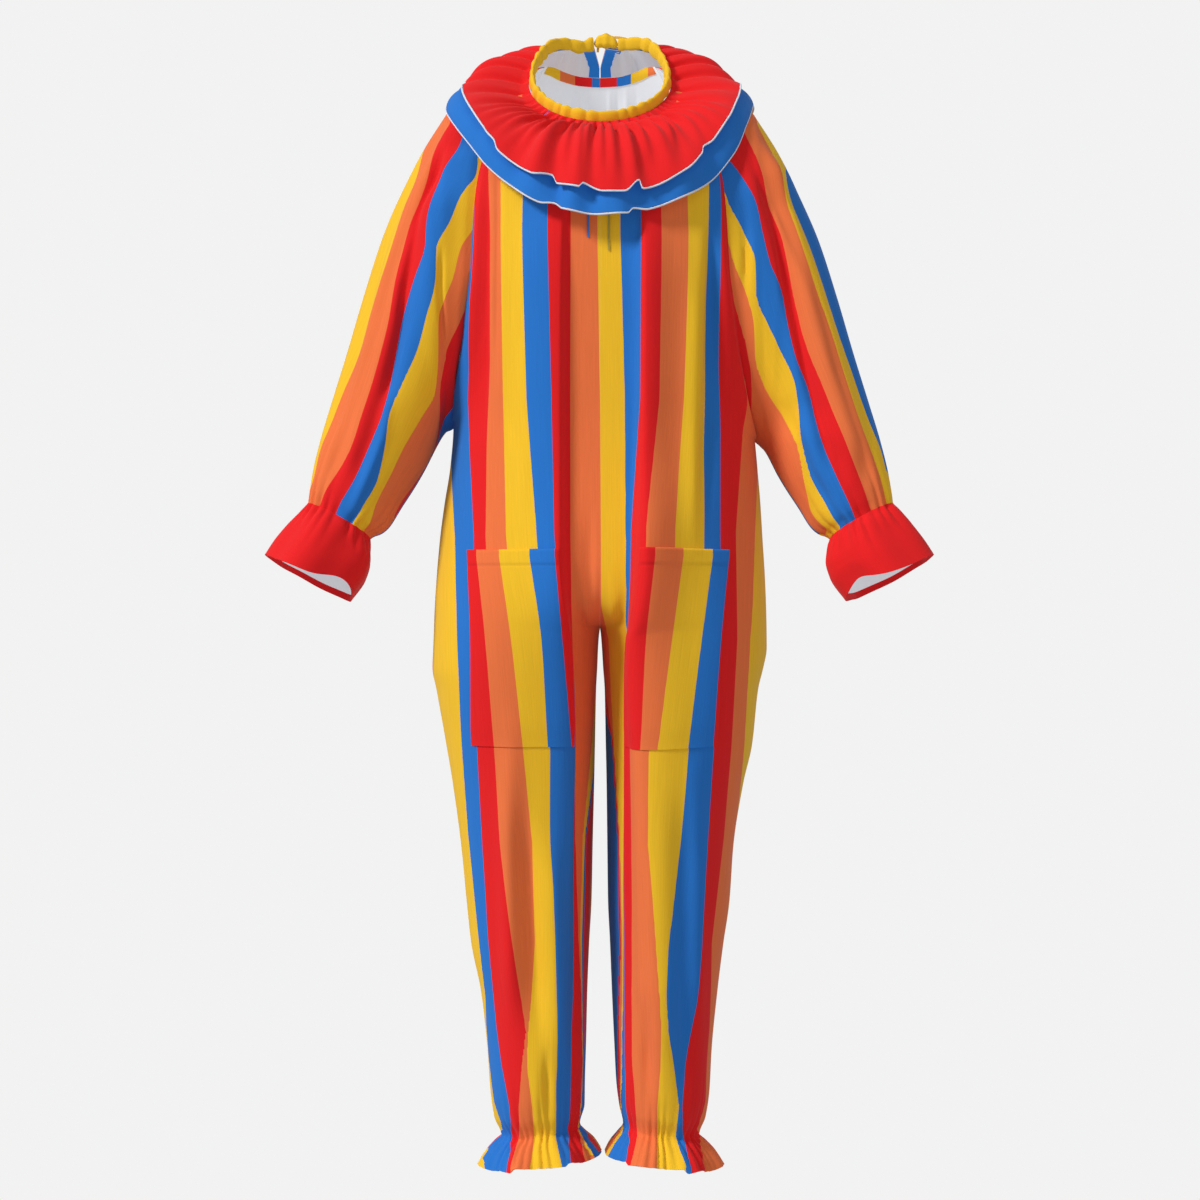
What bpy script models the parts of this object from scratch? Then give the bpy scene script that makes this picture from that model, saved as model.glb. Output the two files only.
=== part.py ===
"""A clown's one-piece jumpsuit, filled out as if worn, with nobody in it.

Metres, +Z up. The front faces -Y and +X is on the right of someone who looks at the front. The
origin is in the neck, level with the shoulders that hold the garment up. "left" is the -X side.

Every piece is a thin wall: a grid of points on its outer face, and the same points moved inward by
the cloth's thickness. Pieces that are sewn together share the points and the inward directions of
their seam, each set back a little from it.
"""

import math

import bmesh
import bpy
import numpy as np

# ---- driving dimensions --------------------------------------------------------------------
CLOTH = 0.0015  # thickness of a single layer
SEAM = 0.0003  # gap between two pieces at a seam
LAYER_GAP = 0.0004  # gap between a panel and a piece that lies on it
SIDES = {"left": -1.0, "right": 1.0}
FACES = {"front": -1.0, "back": 1.0}
ROUNDNESS = 2.2  # exponent of the rounded outer quarter of a body section
SLEEVE_ROUNDNESS = 0.95  # exponent of a sleeve's ring; 1 would be an ellipse


def table(names, *rows):
    """Columns by name, with the first column in rising order."""
    rows = sorted(rows)
    return {name: np.array(column, float) for name, column in zip(names.split(), zip(*rows))}


# Level sections of the body and legs. half: side seam, inner: inseam (below zero above the crotch,
# where the two legs are one), lobe: where a section is deepest, front and back: depths.
BODY = table(
    "z       half_left half_right inner_left inner_right lobe   front  back",
    (0.015, 0.088, 0.088, -0.60, -0.60, 0.020, 0.050, 0.064),
    (-0.030, 0.104, 0.104, -0.60, -0.60, 0.025, 0.056, 0.083),
    (-0.060, 0.140, 0.140, -0.60, -0.60, 0.030, 0.062, 0.095),
    (-0.082, 0.168, 0.168, -0.60, -0.60, 0.035, 0.068, 0.102),
    (-0.128, 0.203, 0.203, -0.60, -0.60, 0.045, 0.104, 0.112),
    (-0.200, 0.208, 0.208, -0.60, -0.60, 0.050, 0.124, 0.120),
    (-0.300, 0.205, 0.207, -0.60, -0.60, 0.055, 0.132, 0.122),
    (-0.400, 0.196, 0.203, -0.60, -0.60, 0.055, 0.131, 0.120),
    (-0.455, 0.190, 0.200, -0.60, -0.60, 0.055, 0.130, 0.120),
    (-0.510, 0.194, 0.204, -0.60, -0.60, 0.056, 0.132, 0.122),
    (-0.558, 0.2015, 0.208, -0.60, -0.60, 0.058, 0.136, 0.127),
    (-0.600, 0.207, 0.2105, -0.44, -0.44, 0.062, 0.140, 0.134),
    (-0.658, 0.212, 0.214, -0.20, -0.20, 0.080, 0.143, 0.142),
    (-0.702, 0.2145, 0.2155, -0.048, -0.048, 0.097, 0.143, 0.147),
    (-0.719, 0.215, 0.2158, 0.0, 0.0, 0.102, 0.142, 0.147),
    (-0.745, 0.216, 0.216, 0.0025, 0.0025, 0.106, 0.140, 0.147),
    (-0.770, 0.217, 0.2115, 0.0035, 0.0040, 0.108, 0.137, 0.146),
    (-0.797, 0.212, 0.205, 0.0050, 0.0060, 0.107, 0.134, 0.143),
    (-0.870, 0.199, 0.197, 0.0065, 0.0075, 0.102, 0.124, 0.133),
    (-0.918, 0.191, 0.186, 0.0075, 0.0085, 0.098, 0.117, 0.125),
    (-1.000, 0.180, 0.173, 0.0095, 0.0095, 0.093, 0.105, 0.110),
    (-1.072, 0.173, 0.168, 0.0110, 0.0104, 0.090, 0.096, 0.100),
    (-1.127, 0.167, 0.160, 0.0140, 0.0130, 0.088, 0.089, 0.093),
    (-1.191, 0.154, 0.152, 0.0165, 0.0155, 0.084, 0.082, 0.085),
    (-1.260, 0.146, 0.145, 0.0180, 0.0185, 0.081, 0.075, 0.078),
    (-1.312, 0.142, 0.142, 0.0195, 0.0210, 0.080, 0.069, 0.072),
    (-1.345, 0.136, 0.136, 0.0200, 0.0250, 0.079, 0.061, 0.063),
    (-1.369, 0.126, 0.127, 0.0260, 0.0300, 0.077, 0.051, 0.052),
    (-1.380, 0.137, 0.138, 0.0190, 0.0230, 0.077, 0.060, 0.061),
    (-1.394, 0.148, 0.150, 0.0060, 0.0130, 0.077, 0.069, 0.070),
    (-1.408, 0.154, 0.157, -0.0020, 0.0064, 0.077, 0.075, 0.076),
)
UNDERARM_Z = {"left": -0.455, "right": -0.477}
CROTCH_Z = -0.719
ELASTIC_Z = -1.369  # the ankles' elastic
HEM_Z = -1.408
LEG_MIDDLE = 0.078  # x of an ankle's middle
ANKLE_TILT = 0.13  # fall of the ankle rings towards the outer side
TILT_STARTS_Z = -1.16

# The neckline, by angle round the neck: 0 at the front, 180 at the back.
NECK_X, NECK_FRONT, NECK_BACK = 0.094, 0.064, 0.070
NECKLINE = table(
    "angle z",
    (0, -0.0764),
    (12, -0.0757),
    (25, -0.0704),
    (45, -0.0564),
    (70, -0.0348),
    (90, -0.0145),
    (110, 0.0075),
    (125, 0.0195),
    (137, 0.0215),
    (150, 0.0175),
    (165, 0.0132),
    (180, 0.0123),
)
RAGLAN_ANGLE = {"front": 50.0, "back": 130.0}

# Raglan seams: distance from the middle by height.
RAGLAN = {
    "front": table(
        "z x",
        (-0.410, 0.1850),
        (-0.350, 0.1735),
        (-0.318, 0.1700),
        (-0.266, 0.1630),
        (-0.222, 0.1607),
        (-0.179, 0.1580),
        (-0.128, 0.1500),
        (-0.095, 0.1220),
        (-0.052, 0.0720),
    ),
    "back": table(
        "z x",
        (-0.410, 0.1840),
        (-0.350, 0.1730),
        (-0.266, 0.1640),
        (-0.200, 0.1600),
        (-0.128, 0.1480),
        (-0.070, 0.1210),
        (0.021, 0.0720),
    ),
}

# Rings of a sleeve from the armhole to the wrist: the ends of each ring's long diameter beside the
# body and on the outer side, the depths in front of and behind it, and how the arm leans forward.
SLEEVE = table(
    "ring inner_x inner_z outer_x outer_z front back middle_y tilt",
    (1, 0.199, -0.463, 0.199, -0.053, 0.098, 0.095, 0.000, 0),
    (2, 0.203, -0.468, 0.228, -0.100, 0.098, 0.095, -0.003, 1),
    (3, 0.208, -0.476, 0.254, -0.152, 0.096, 0.095, -0.006, 2),
    (4, 0.213, -0.486, 0.281, -0.215, 0.093, 0.093, -0.011, 3),
    (5, 0.219, -0.499, 0.305, -0.292, 0.088, 0.089, -0.017, 4),
    (6, 0.226, -0.514, 0.326, -0.368, 0.082, 0.084, -0.025, 6),
    (7, 0.236, -0.533, 0.344, -0.430, 0.075, 0.077, -0.034, 7),
    (8, 0.250, -0.556, 0.358, -0.480, 0.066, 0.067, -0.043, 9),
    (9, 0.268, -0.581, 0.367, -0.520, 0.055, 0.056, -0.051, 10),
    (10, 0.284, -0.597, 0.371, -0.548, 0.047, 0.047, -0.057, 11),
    (11, 0.2925, -0.604, 0.3724, -0.5612, 0.042, 0.042, -0.060, 11),
)
SLEEVE_RINGS = range(1, 12)
UNDERARM = (0.190, -0.455)  # x and z of the underarm that the rings of a sleeve are drawn for
UNDERARM_FADES, SEAM_FADES = 9, 6  # rings by which the underarm and the raglan seam have no say
TOP_ANGLE, TOP_SPREAD = 61, 0.8  # the top of a sleeve's first ring, and how close its points lie
CUFF = table(
    "ring inner_x inner_z outer_x outer_z front back middle_y tilt gather",
    (1, 0.2925, -0.6046, 0.3726, -0.5618, 0.042, 0.042, -0.0603, 11, 0.0),
    (2, 0.2905, -0.6160, 0.3800, -0.5705, 0.048, 0.048, -0.0610, 11, 0.0024),
    (3, 0.2900, -0.6340, 0.3935, -0.5870, 0.054, 0.054, -0.0620, 10, 0.0026),
    (4, 0.2960, -0.6560, 0.4095, -0.6075, 0.060, 0.060, -0.0630, 9, 0.0018),
    (5, 0.3150, -0.6830, 0.4225, -0.6280, 0.064, 0.064, -0.0640, 8, 0.0012),
)
CUFF_RINGS = range(1, 6)
CUFF_GATHERS = 12
ANKLE_GATHERS = 14
GATHER_LEAST, GATHER_BELOW, GATHER_ABOVE, GATHER_REACH = 0.0008, 0.0050, 0.0020, 0.05
INSEAM_CALM = 0.06  # the flounces are flatter where they face each other

# The two deep front folds, by height: x of the foot of the fold, x of its crest, and its height.
FOLD = {
    "left": table(
        "z foot crest height",
        (-1.300, 0.034, 0.048, 0.000),
        (-1.050, 0.032, 0.044, 0.008),
        (-0.870, 0.031, 0.042, 0.013),
        (-0.745, 0.034, 0.046, 0.015),
        (-0.620, 0.037, 0.051, 0.015),
        (-0.400, 0.038, 0.051, 0.013),
        (-0.250, 0.038, 0.050, 0.010),
        (-0.130, 0.036, 0.046, 0.000),
    ),
    "right": table(
        "z foot crest height",
        (-1.300, 0.026, 0.040, 0.000),
        (-1.050, 0.027, 0.040, 0.008),
        (-0.870, 0.031, 0.042, 0.014),
        (-0.745, 0.033, 0.045, 0.016),
        (-0.620, 0.036, 0.050, 0.016),
        (-0.400, 0.047, 0.060, 0.012),
        (-0.250, 0.050, 0.062, 0.008),
        (-0.130, 0.048, 0.060, 0.000),
    ),
}
FOLD_REACH = 0.034  # how far a fold's outer slope runs
CENTRE_CALM, SIDE_CALM = 0.012, 0.030  # folds fade over this distance from a panel's edges

# Softer folds: face, side, x, top, bottom, width, height (a valley is below zero).
SOFT_FOLDS = (
    ("front", "left", 0.139, -0.12, -0.50, 0.011, -0.007),
    ("front", "right", 0.139, -0.14, -0.48, 0.012, -0.007),
    ("front", "left", 0.110, -0.80, -1.25, 0.014, 0.005),
    ("front", "right", 0.118, -0.84, -1.28, 0.014, 0.005),
    ("back", "left", 0.070, -0.20, -0.95, 0.020, 0.009),
    ("back", "right", 0.064, -0.16, -0.90, 0.019, 0.009),
    ("back", "left", 0.142, -0.26, -1.10, 0.016, -0.007),
    ("back", "right", 0.138, -0.30, -1.15, 0.016, -0.007),
)
SOFT_FOLD_ENDS = 0.12

# Patch pockets: x of the edges by height.
POCKET = {
    "left": table(
        "z outer inner", (-0.865, 0.1610, 0.0350), (-0.745, 0.1605, 0.0440), (-0.620, 0.1655, 0.0545)
    ),
    "right": table(
        "z outer inner", (-0.865, 0.1450, 0.0340), (-0.745, 0.1500, 0.0440), (-0.620, 0.1610, 0.0540)
    ),
}

# The gathered neck band and the collar that hangs from it.
BAND_X, BAND_FRONT, BAND_BACK = 0.0880, 0.0650, 0.0640
BAND_Z = table(  # the ring is low in front and high at the back, with full back corners
    "angle z",
    (0, -0.0690),
    (8, -0.0684),
    (16, -0.0665),
    (25, -0.0631),
    (35, -0.0576),
    (45, -0.0505),
    (60, -0.0374),
    (75, -0.0222),
    (90, -0.0045),
    (105, 0.0165),
    (120, 0.0345),
    (135, 0.0470),
    (150, 0.0530),
    (165, 0.0545),
    (180, 0.0574),
)
BAND_TALL, BAND_THICK = 0.016, 0.008
BAND_ENDS = {"left": -174.5, "right": 164.0}  # the knot is between them, right of the middle
BAND_PUCKERS = 22
BAND_SIDES = 6  # sides of the band's section
PUCKER = 0.10  # the puckers' height as a share of the band's size
BAND_UP = (0.0, -0.35, 0.94)  # the band leans forward
KNOT_DEEP, KNOT_TALL, KNOT_ARCH = 0.0066, 0.0098, 0.0045
TIE_WIDTH, TIE_THICK = 0.0032, 0.0012
TIE_PATHS = {  # x and z along the tie's two short ends, behind the knot
    "tie_end_right": ((0.0080, 0.0625), (0.0190, 0.0665), (0.0300, 0.0655), (0.0425, 0.0618)),
    "tie_end_down": ((0.0060, 0.0600), (0.0005, 0.0575), (-0.0026, 0.0530), (-0.0030, 0.0465)),
}
COLLAR_EDGE = dict(x=0.199, front=0.156, back=0.150)  # the blue layer's half width and depths
COLLAR_EDGE_Z = table(  # the height of the blue layer's outer edge; the left side is below zero
    "angle z",
    (-180, -0.0880),
    (-165, -0.0870),
    (-140, -0.0780),
    (-112, -0.0550),
    (-90, -0.0400),
    (-76, -0.0585),
    (-60, -0.0955),
    (-45, -0.1390),
    (-34, -0.1660),
    (-20, -0.1920),
    (0, -0.2060),
    (8, -0.2050),
    (20, -0.1960),
    (30, -0.1820),
    (44, -0.1580),
    (56, -0.1200),
    (70, -0.0735),
    (90, -0.0400),
    (112, -0.0550),
    (140, -0.0780),
    (165, -0.0870),
    (180, -0.0880),
)
COLLAR_ROOT_OUT, COLLAR_ROOT_DOWN = 0.0047, 0.0030  # the blue layer's start, from the band's middle
COLLAR_CROWN = table("angle rise", (0, 0.004), (50, 0.005), (100, 0.012), (135, 0.016), (180, 0.010))
RED_SHARE = table(  # how much of the blue layer's width the red one covers
    "angle share",
    (-180, 0.78),
    (-135, 0.70),
    (-90, 0.57),
    (-70, 0.60),
    (-50, 0.68),
    (-38, 0.80),
    (-20, 0.85),
    (0, 0.87),
    (12, 0.88),
    (32, 0.83),
    (42, 0.74),
    (56, 0.66),
    (90, 0.60),
    (135, 0.70),
    (180, 0.78),
)
LAYER_LIFT, LAYER_SPREAD = 0.0022, 0.0048  # the red layer above the blue one, at the band and edge
FLUTES = {  # folds that spread to the collar's edge: angle, width in degrees, height
    "red": (
        (-88, 12, 0.004), (-58, 8, 0.005), (-41, 7, 0.006), (-22, 6, 0.007), (-6, 6, 0.006),
        (14, 6, 0.007), (36, 7, 0.006), (56, 8, 0.006), (84, 12, 0.005), (112, 11, 0.009),
        (142, 11, 0.010), (-116, 11, 0.009), (-146, 11, 0.010),
    ),
    "blue": (
        (-76, 12, 0.004), (-28, 7, 0.005), (-12, 7, 0.006), (8, 7, 0.006), (30, 8, 0.005),
        (58, 11, 0.004), (100, 12, 0.007), (134, 11, 0.009), (-104, 12, 0.007), (-138, 11, 0.009),
    ),
}
COLLAR_STOPS = 179.7  # the collar's ends, at the centre back
SLIT_SPREAD = 0.013  # how far the band pulls each end aside at the top
SLIT_FADE = 0.06  # the width of collar that is pulled aside
SLIT_REACH = 0.25  # where the ends meet, as a share of the collar's width
FLUTE_RISE = 0.1  # a flute's edge also rises, by this share of its height
FLUTE_GROWTH = 1.4  # exponent by which a flute grows from the band to the edge
EDGING_WIDTH = 0.0026
EDGING_THICK = 0.0022
HEM_STRIP = 0.009  # the blue hem along each end of the collar
HEM_GAP = 0.0010
HEM_THICK = 0.0010
FACING_DEPTH, FACING_THICK = 0.012, 0.0012
TAPE_WIDTH, TAPE_THICK = 0.0024, 0.0010
TAPES = {"left": (-0.0148, -0.185, -0.232), "right": (0.0112, -0.185, -0.249)}  # x, top, bottom

# How finely the walls are divided.
UPPER_ROWS = 9
LOWER_Z = (
    -0.505, -0.540, -0.580, -0.620, -0.652, -0.677, -0.696, -0.709, CROTCH_Z, -0.735, -0.765,
    -0.812, -0.865, -0.925, -0.985, -1.045, -1.105, -1.165, -1.220, -1.270, -1.310,
)
ANKLE_Z = (-1.332, -1.348, -1.360, ELASTIC_Z, -1.377, -1.388, HEM_Z)
FRONT_COLUMNS = (3, 1, 5, 3)  # intervals to the fold's foot, its crest, the pocket's edge, the side
BACK_COLUMNS = (3, 3, 3)
SLEEVE_COLUMNS = 24
COLLAR_COLUMNS, COLLAR_ROWS = 64, 4
DENSE = 400  # points on a curve before it is divided

COLOURS = {
    "red": (0.78, 0.02, 0.02),
    "orange": (0.86, 0.20, 0.06),
    "yellow": (0.84, 0.50, 0.03),
    "blue": (0.03, 0.20, 0.62),
    "white": (0.80, 0.82, 0.90),
}


# ---- curves and small helpers --------------------------------------------------------------
def read(columns, name, where):
    """One column of a table at a height, angle or ring, on a smooth curve through its rows."""
    first = next(iter(columns))
    xs, ys = columns[first], columns[name]
    step, rise = np.diff(xs), np.diff(ys)
    slope = rise / step
    both = slope[:-1] * slope[1:]
    bend = np.where(both > 0, 2 * both / np.where(both > 0, slope[:-1] + slope[1:], 1), 0)
    slopes = np.concatenate([slope[:1], bend, slope[-1:]])
    where = np.clip(np.asarray(where, float), xs[0], xs[-1])
    i = np.clip(np.searchsorted(xs, where) - 1, 0, len(step) - 1)
    t = (where - xs[i]) / step[i]
    return (
        ys[i]
        + rise[i] * (3 * t**2 - 2 * t**3)
        + step[i] * (slopes[i] * (t - 2 * t**2 + t**3) + slopes[i + 1] * (t**3 - t**2))
    )


def ease(x):
    """0 below 0, 1 above 1, and smooth between."""
    x = np.clip(x, 0, 1)
    return x * x * (3 - 2 * x)


def unit(vectors):
    return vectors / np.maximum(np.linalg.norm(vectors, axis=-1, keepdims=True), 1e-12)


def along(curve):
    """Distance along a curve at each of its points."""
    return np.concatenate([[0], np.cumsum(np.linalg.norm(np.diff(curve, axis=0), axis=1))])


def points_at(curve, distances):
    where = along(curve)
    return np.stack([np.interp(distances, where, curve[:, k]) for k in range(3)], axis=1)


# ---- walls ---------------------------------------------------------------------------------
def material(name):
    found = bpy.data.materials.get(name)
    if found:
        return found
    made = bpy.data.materials.new(name)
    made.use_nodes = True
    shader = made.node_tree.nodes["Principled BSDF"]
    shader.inputs["Base Color"].default_value = (*COLOURS[name], 1)
    shader.inputs["Roughness"].default_value = 0.8
    shader.inputs["Metallic"].default_value = 0.0
    return made


def grid_faces(rows, loop):
    """Faces between rows of points; a row may have twice the intervals of the one before it."""
    faces, start = [], 0
    for above, below in zip(rows[:-1], rows[1:]):
        n, m = len(above), len(below)
        a, b = start, start + n
        start = b
        cells = n if loop else n - 1
        doubled = m != n
        for j in range(cells):
            k = (j + 1) % n
            if doubled:
                left, middle, right = 2 * j, 2 * j + 1, (2 * j + 2) % m
                faces.append((a + j, b + left, b + middle))
                faces.append((a + j, b + middle, a + k))
                faces.append((a + k, b + middle, b + right))
            else:
                faces.append((a + j, b + j, b + k, a + k))
    return faces


def mesh_normals(points, faces, outward_from):
    """Unit normals at the points, on the side away from a line of middles."""
    normals = np.zeros_like(points)
    for face in faces:
        corner = points[list(face)]
        normal = np.cross(corner[2] - corner[0], corner[-1] - corner[1])
        for index in face:
            normals[index] += normal
    normals = unit(normals)
    if np.sum(normals * (points - outward_from)) < 0:
        normals = -normals
    return normals


def wall(name, outer, inward, faces, thickness, colour):
    """A closed wall between the outer points and the same points moved inward."""
    count = len(outer)
    points = np.concatenate([outer, outer + inward * thickness])
    edges = [edge for face in faces for edge in zip(face, face[1:] + face[:1])]
    known = set(edges)
    rim = [(a, b) for a, b in edges if (b, a) not in known]
    mesh = bpy.data.meshes.new(name)
    build = bmesh.new()
    verts = [build.verts.new(p) for p in points]
    for face in faces:
        build.faces.new([verts[i] for i in face])
        build.faces.new([verts[i + count] for i in reversed(face)])
    for a, b in rim:
        build.faces.new([verts[b], verts[a], verts[a + count], verts[b + count]])
    bmesh.ops.triangulate(build, faces=build.faces)
    bmesh.ops.recalc_face_normals(build, faces=build.faces)
    if build.calc_volume(signed=True) < 0:
        bmesh.ops.reverse_faces(build, faces=build.faces)
    build.to_mesh(mesh)
    build.free()
    mesh.shade_smooth()
    mesh.set_sharp_from_angle(angle=math.radians(50))
    mesh.materials.append(material(colour))
    made = bpy.data.objects.new(name, mesh)
    collection.objects.link(made)
    return made


def flat_rows(rows):
    return np.concatenate(rows)


# ---- the neckline --------------------------------------------------------------------------
def neckline(side, angle):
    angle = np.asarray(angle, float)
    turn = np.radians(angle)
    depth = np.where(angle < 90, NECK_FRONT, NECK_BACK)
    return np.stack(
        [SIDES[side] * NECK_X * np.sin(turn), -depth * np.cos(turn), read(NECKLINE, "z", angle)], -1
    )


# ---- the body panels -----------------------------------------------------------------------
def depth_at(side, face, x, z):
    """How far a body section stands from the middle plane at a distance x from the centre."""
    half = read(BODY, "half_" + side, z)
    inner = read(BODY, "inner_" + side, z)
    lobe = read(BODY, "lobe", z)
    depth = read(BODY, face, z)
    in_arc = np.clip((lobe - x) / (lobe - inner), 0, 1)
    out_arc = np.clip((x - lobe) / (half - lobe), 0, 1)
    return np.where(
        x < lobe,
        depth * np.sqrt(1 - in_arc**2),
        depth * (1 - out_arc**ROUNDNESS) ** (1 / ROUNDNESS),
    )


def upper_row(side, face, up):
    """A row between the underarm (up 0) and the neckline (up 1), from the centre to the raglan."""
    bottom = UNDERARM_Z[side]
    seam_angle = RAGLAN_ANGLE[face]
    seam_top = neckline("right", seam_angle)
    across = np.sin(np.linspace(0, 1, DENSE) * math.pi / 2)
    turn = np.degrees(np.arcsin(across * seam_top[0] / NECK_X))
    turn = turn if face == "front" else 180 - turn
    top = neckline("right", turn)
    seam_z = bottom + (seam_top[2] - bottom) * up
    reach = raglan_x(side, face, seam_z)
    x = across * reach
    z = bottom + (top[:, 2] - bottom) * up
    depth = depth_at(side, face, x, z)
    at_neck = depth_at(side, face, top[:, 0], top[:, 2])
    depth = depth + (np.abs(top[:, 1]) - at_neck) * up**4
    return np.stack([SIDES[side] * x, FACES[face] * depth, z], axis=1)


def raglan_x(side, face, z):
    seam = RAGLAN[face]
    bottom = UNDERARM_Z[side]
    low = read(BODY, "half_" + side, bottom)
    columns = {
        "z": np.concatenate([[bottom], seam["z"]]),
        "x": np.concatenate([[low], seam["x"]]),
    }
    return read(columns, "x", z)


def lower_row(side, face, z):
    """A row from the centre seam, or the inseam, to the side seam."""
    half = float(read(BODY, "half_" + side, z))
    start = float(read(BODY, "inner_" + side, z)) if z <= CROTCH_Z else 0.0
    swing = (1 - np.cos(np.linspace(0, math.pi, DENSE))) / 2
    x = start + (half - start) * swing
    depth = depth_at(side, face, x, z)
    tilt = ANKLE_TILT * ease((TILT_STARTS_Z - z) / (TILT_STARTS_Z - ELASTIC_Z))
    heights = z - tilt * (x - LEG_MIDDLE)
    return np.stack([SIDES[side] * x, FACES[face] * depth, heights], axis=1)


def column_places(side, face, curve, z, parts):
    """Distances along a row where its points go."""
    where = along(curve)
    x = np.abs(curve[:, 0])
    start, reach = float(x[0]), float(x[-1])
    if face == "back":
        stops = [start + share * (reach - start) for share in (0.40, 0.74)]
    else:
        fold = FOLD[side]
        wide = reach - start
        foot = np.clip(read(fold, "foot", z), start + 0.12 * wide, start + 0.5 * wide)
        crest = np.clip(read(fold, "crest", z), foot + 0.05 * wide, start + 0.6 * wide)
        pocket = np.clip(read(POCKET[side], "outer", z), 0, start + 0.80 * wide)
        stops = [foot, crest, pocket]
    marks = [0.0] + [float(np.interp(s, x, where)) for s in stops] + [float(where[-1])]
    places = [0.0]
    for low, high, count in zip(marks[:-1], marks[1:], parts):
        places += list(low + (high - low) * (np.arange(count) + 1) / count)
    return np.array(places)


def fold_heights(side, face, curve, places, z):
    """How far the folds lift each point of a row."""
    where = along(curve)
    x = np.abs(curve[:, 0])
    end = where[-1]
    lift = np.zeros(len(places))
    if face == "front":
        fold = FOLD[side]
        foot = np.interp(float(read(fold, "foot", z)), x, where)
        crest = np.interp(float(read(fold, "crest", z)), x, where)
        height = float(read(fold, "height", z))
        rise = ease((places - foot) / (crest - foot))
        fall = np.exp(-((np.maximum(places - crest, 0) / FOLD_REACH) ** 2))
        lift += height * rise * fall
    for at_face, at_side, at_x, top, bottom, width, height in SOFT_FOLDS:
        if (at_face, at_side) != (face, side) or at_x > x[-1]:
            continue
        middle = np.interp(at_x, x, where)
        strength = ease((top - z) / SOFT_FOLD_ENDS) * ease((z - bottom) / SOFT_FOLD_ENDS)
        lift += height * strength * np.exp(-(((places - middle) / width) ** 2))
    lift *= ease(places / CENTRE_CALM) * ease((end - places) / SIDE_CALM)
    return lift


def ankle_gathers(places, z):
    """Small pleats above and below the elastic; none at the seams."""
    if z < ELASTIC_Z:
        size = GATHER_LEAST + GATHER_BELOW * (ELASTIC_Z - z) / (ELASTIC_Z - HEM_Z)
    else:
        size = GATHER_ABOVE * max(0, 1 - (z - ELASTIC_Z) / GATHER_REACH)
    beside_inseam = 0.22 + 0.78 * ease(places / INSEAM_CALM)
    return size * beside_inseam * np.sin(places / places[-1] * math.pi * ANKLE_GATHERS / 2)


def panel_rows(side, face):
    """The panel's points, row by row from the neckline to the hem, before and after its folds."""
    parts = FRONT_COLUMNS if face == "front" else BACK_COLUMNS
    upper = [upper_row(side, face, up) for up in np.arange(UPPER_ROWS, 0, -1) / UPPER_ROWS]
    curves = [(curve, float(curve[DENSE // 2, 2])) for curve in upper]
    curves += [(lower_row(side, face, z), z) for z in (UNDERARM_Z[side],) + LOWER_Z]
    fine_curves = [(lower_row(side, face, z), z) for z in ANKLE_Z]
    base, lifts, heights = [], [], []
    for group, counts in ((curves, parts), (fine_curves, tuple(2 * n for n in parts))):
        for curve, z in group:
            places = column_places(side, face, curve, z, counts)
            base.append(points_at(curve, places))
            lifts.append(fold_heights(side, face, curve, places, z) + ankle_gathers(places, z))
            heights.append(z)
    return base, lifts, heights


def body_panel(side, face):
    """A front or back panel: its wall, and what the pieces sewn to it need."""
    base, lifts, heights = panel_rows(side, face)
    faces = grid_faces(base, loop=False)
    flat = flat_rows(base)
    middle = flat * (0, 0, 1) + (SIDES[side] * LEG_MIDDLE, 0, 0)
    normals = mesh_normals(flat, faces, middle)
    lifted = flat + normals * flat_rows([a[:, None] for a in lifts])
    own = mesh_normals(lifted, faces, middle)
    sign_x, sign_y = SIDES[side], FACES[face]
    outer, inward, start, seam = lifted.copy(), -own, 0, []
    edge = []
    for i, row in enumerate(base):
        first, last = start, start + len(row) - 1
        z = heights[i]
        if z > CROTCH_Z:  # the centre seam
            outer[first, 0] = sign_x * SEAM / 2
            inward[first, 0] = sign_x * max(sign_x * inward[first, 0], 0)
        else:  # the inseam
            outer[first, 1] = sign_y * SEAM / 2
            if z == CROTCH_Z:
                outer[first, 0] = sign_x * SEAM / 2
            inward[first] = (sign_x, 0, 0)
        if i < UPPER_ROWS:  # the raglan seam
            inward[last] = -normals[last]
            seam.append(flat[last].copy())
            edge.append(last)
            step = unit(flat[last - 1] - flat[last])
            outer[last] = flat[last] + step * SEAM / 2
        else:  # the side seam
            outer[last, 1] = sign_y * SEAM / 2
            inward[last] = (-sign_x, 0, 0)
            if i == UPPER_ROWS:
                seam.append(flat[last].copy())
                edge.append(last)
        start += len(row)
    rows = [len(row) for row in base]
    return dict(
        name=f"{face}_{side}", outer=outer, inward=unit(inward), faces=faces, rows=rows,
        heights=heights, seam=seam[::-1], edge=edge[::-1],
    )


# ---- pieces on the panels ------------------------------------------------------------------
def pocket(side, panel):
    """A patch pocket, from the panel's own points moved out."""
    starts = np.concatenate([[0], np.cumsum(panel["rows"])])
    inner_column = FRONT_COLUMNS[0] + FRONT_COLUMNS[1]
    columns = range(inner_column, inner_column + FRONT_COLUMNS[2] + 1)
    rows, inward = [], []
    low, high = POCKET[side]["z"][[0, -1]]
    for i, z in enumerate(panel["heights"]):
        if low <= z <= high:
            rows.append(np.array([panel["outer"][starts[i] + j] for j in columns]))
            inward.append(np.array([panel["inward"][starts[i] + j] for j in columns]))
    faces = grid_faces(rows, loop=False)
    directions = flat_rows(inward)
    outer = flat_rows(rows) - directions * (LAYER_GAP + CLOTH)
    wall(f"pocket_{side}", outer, directions, faces, CLOTH, "orange")


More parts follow.
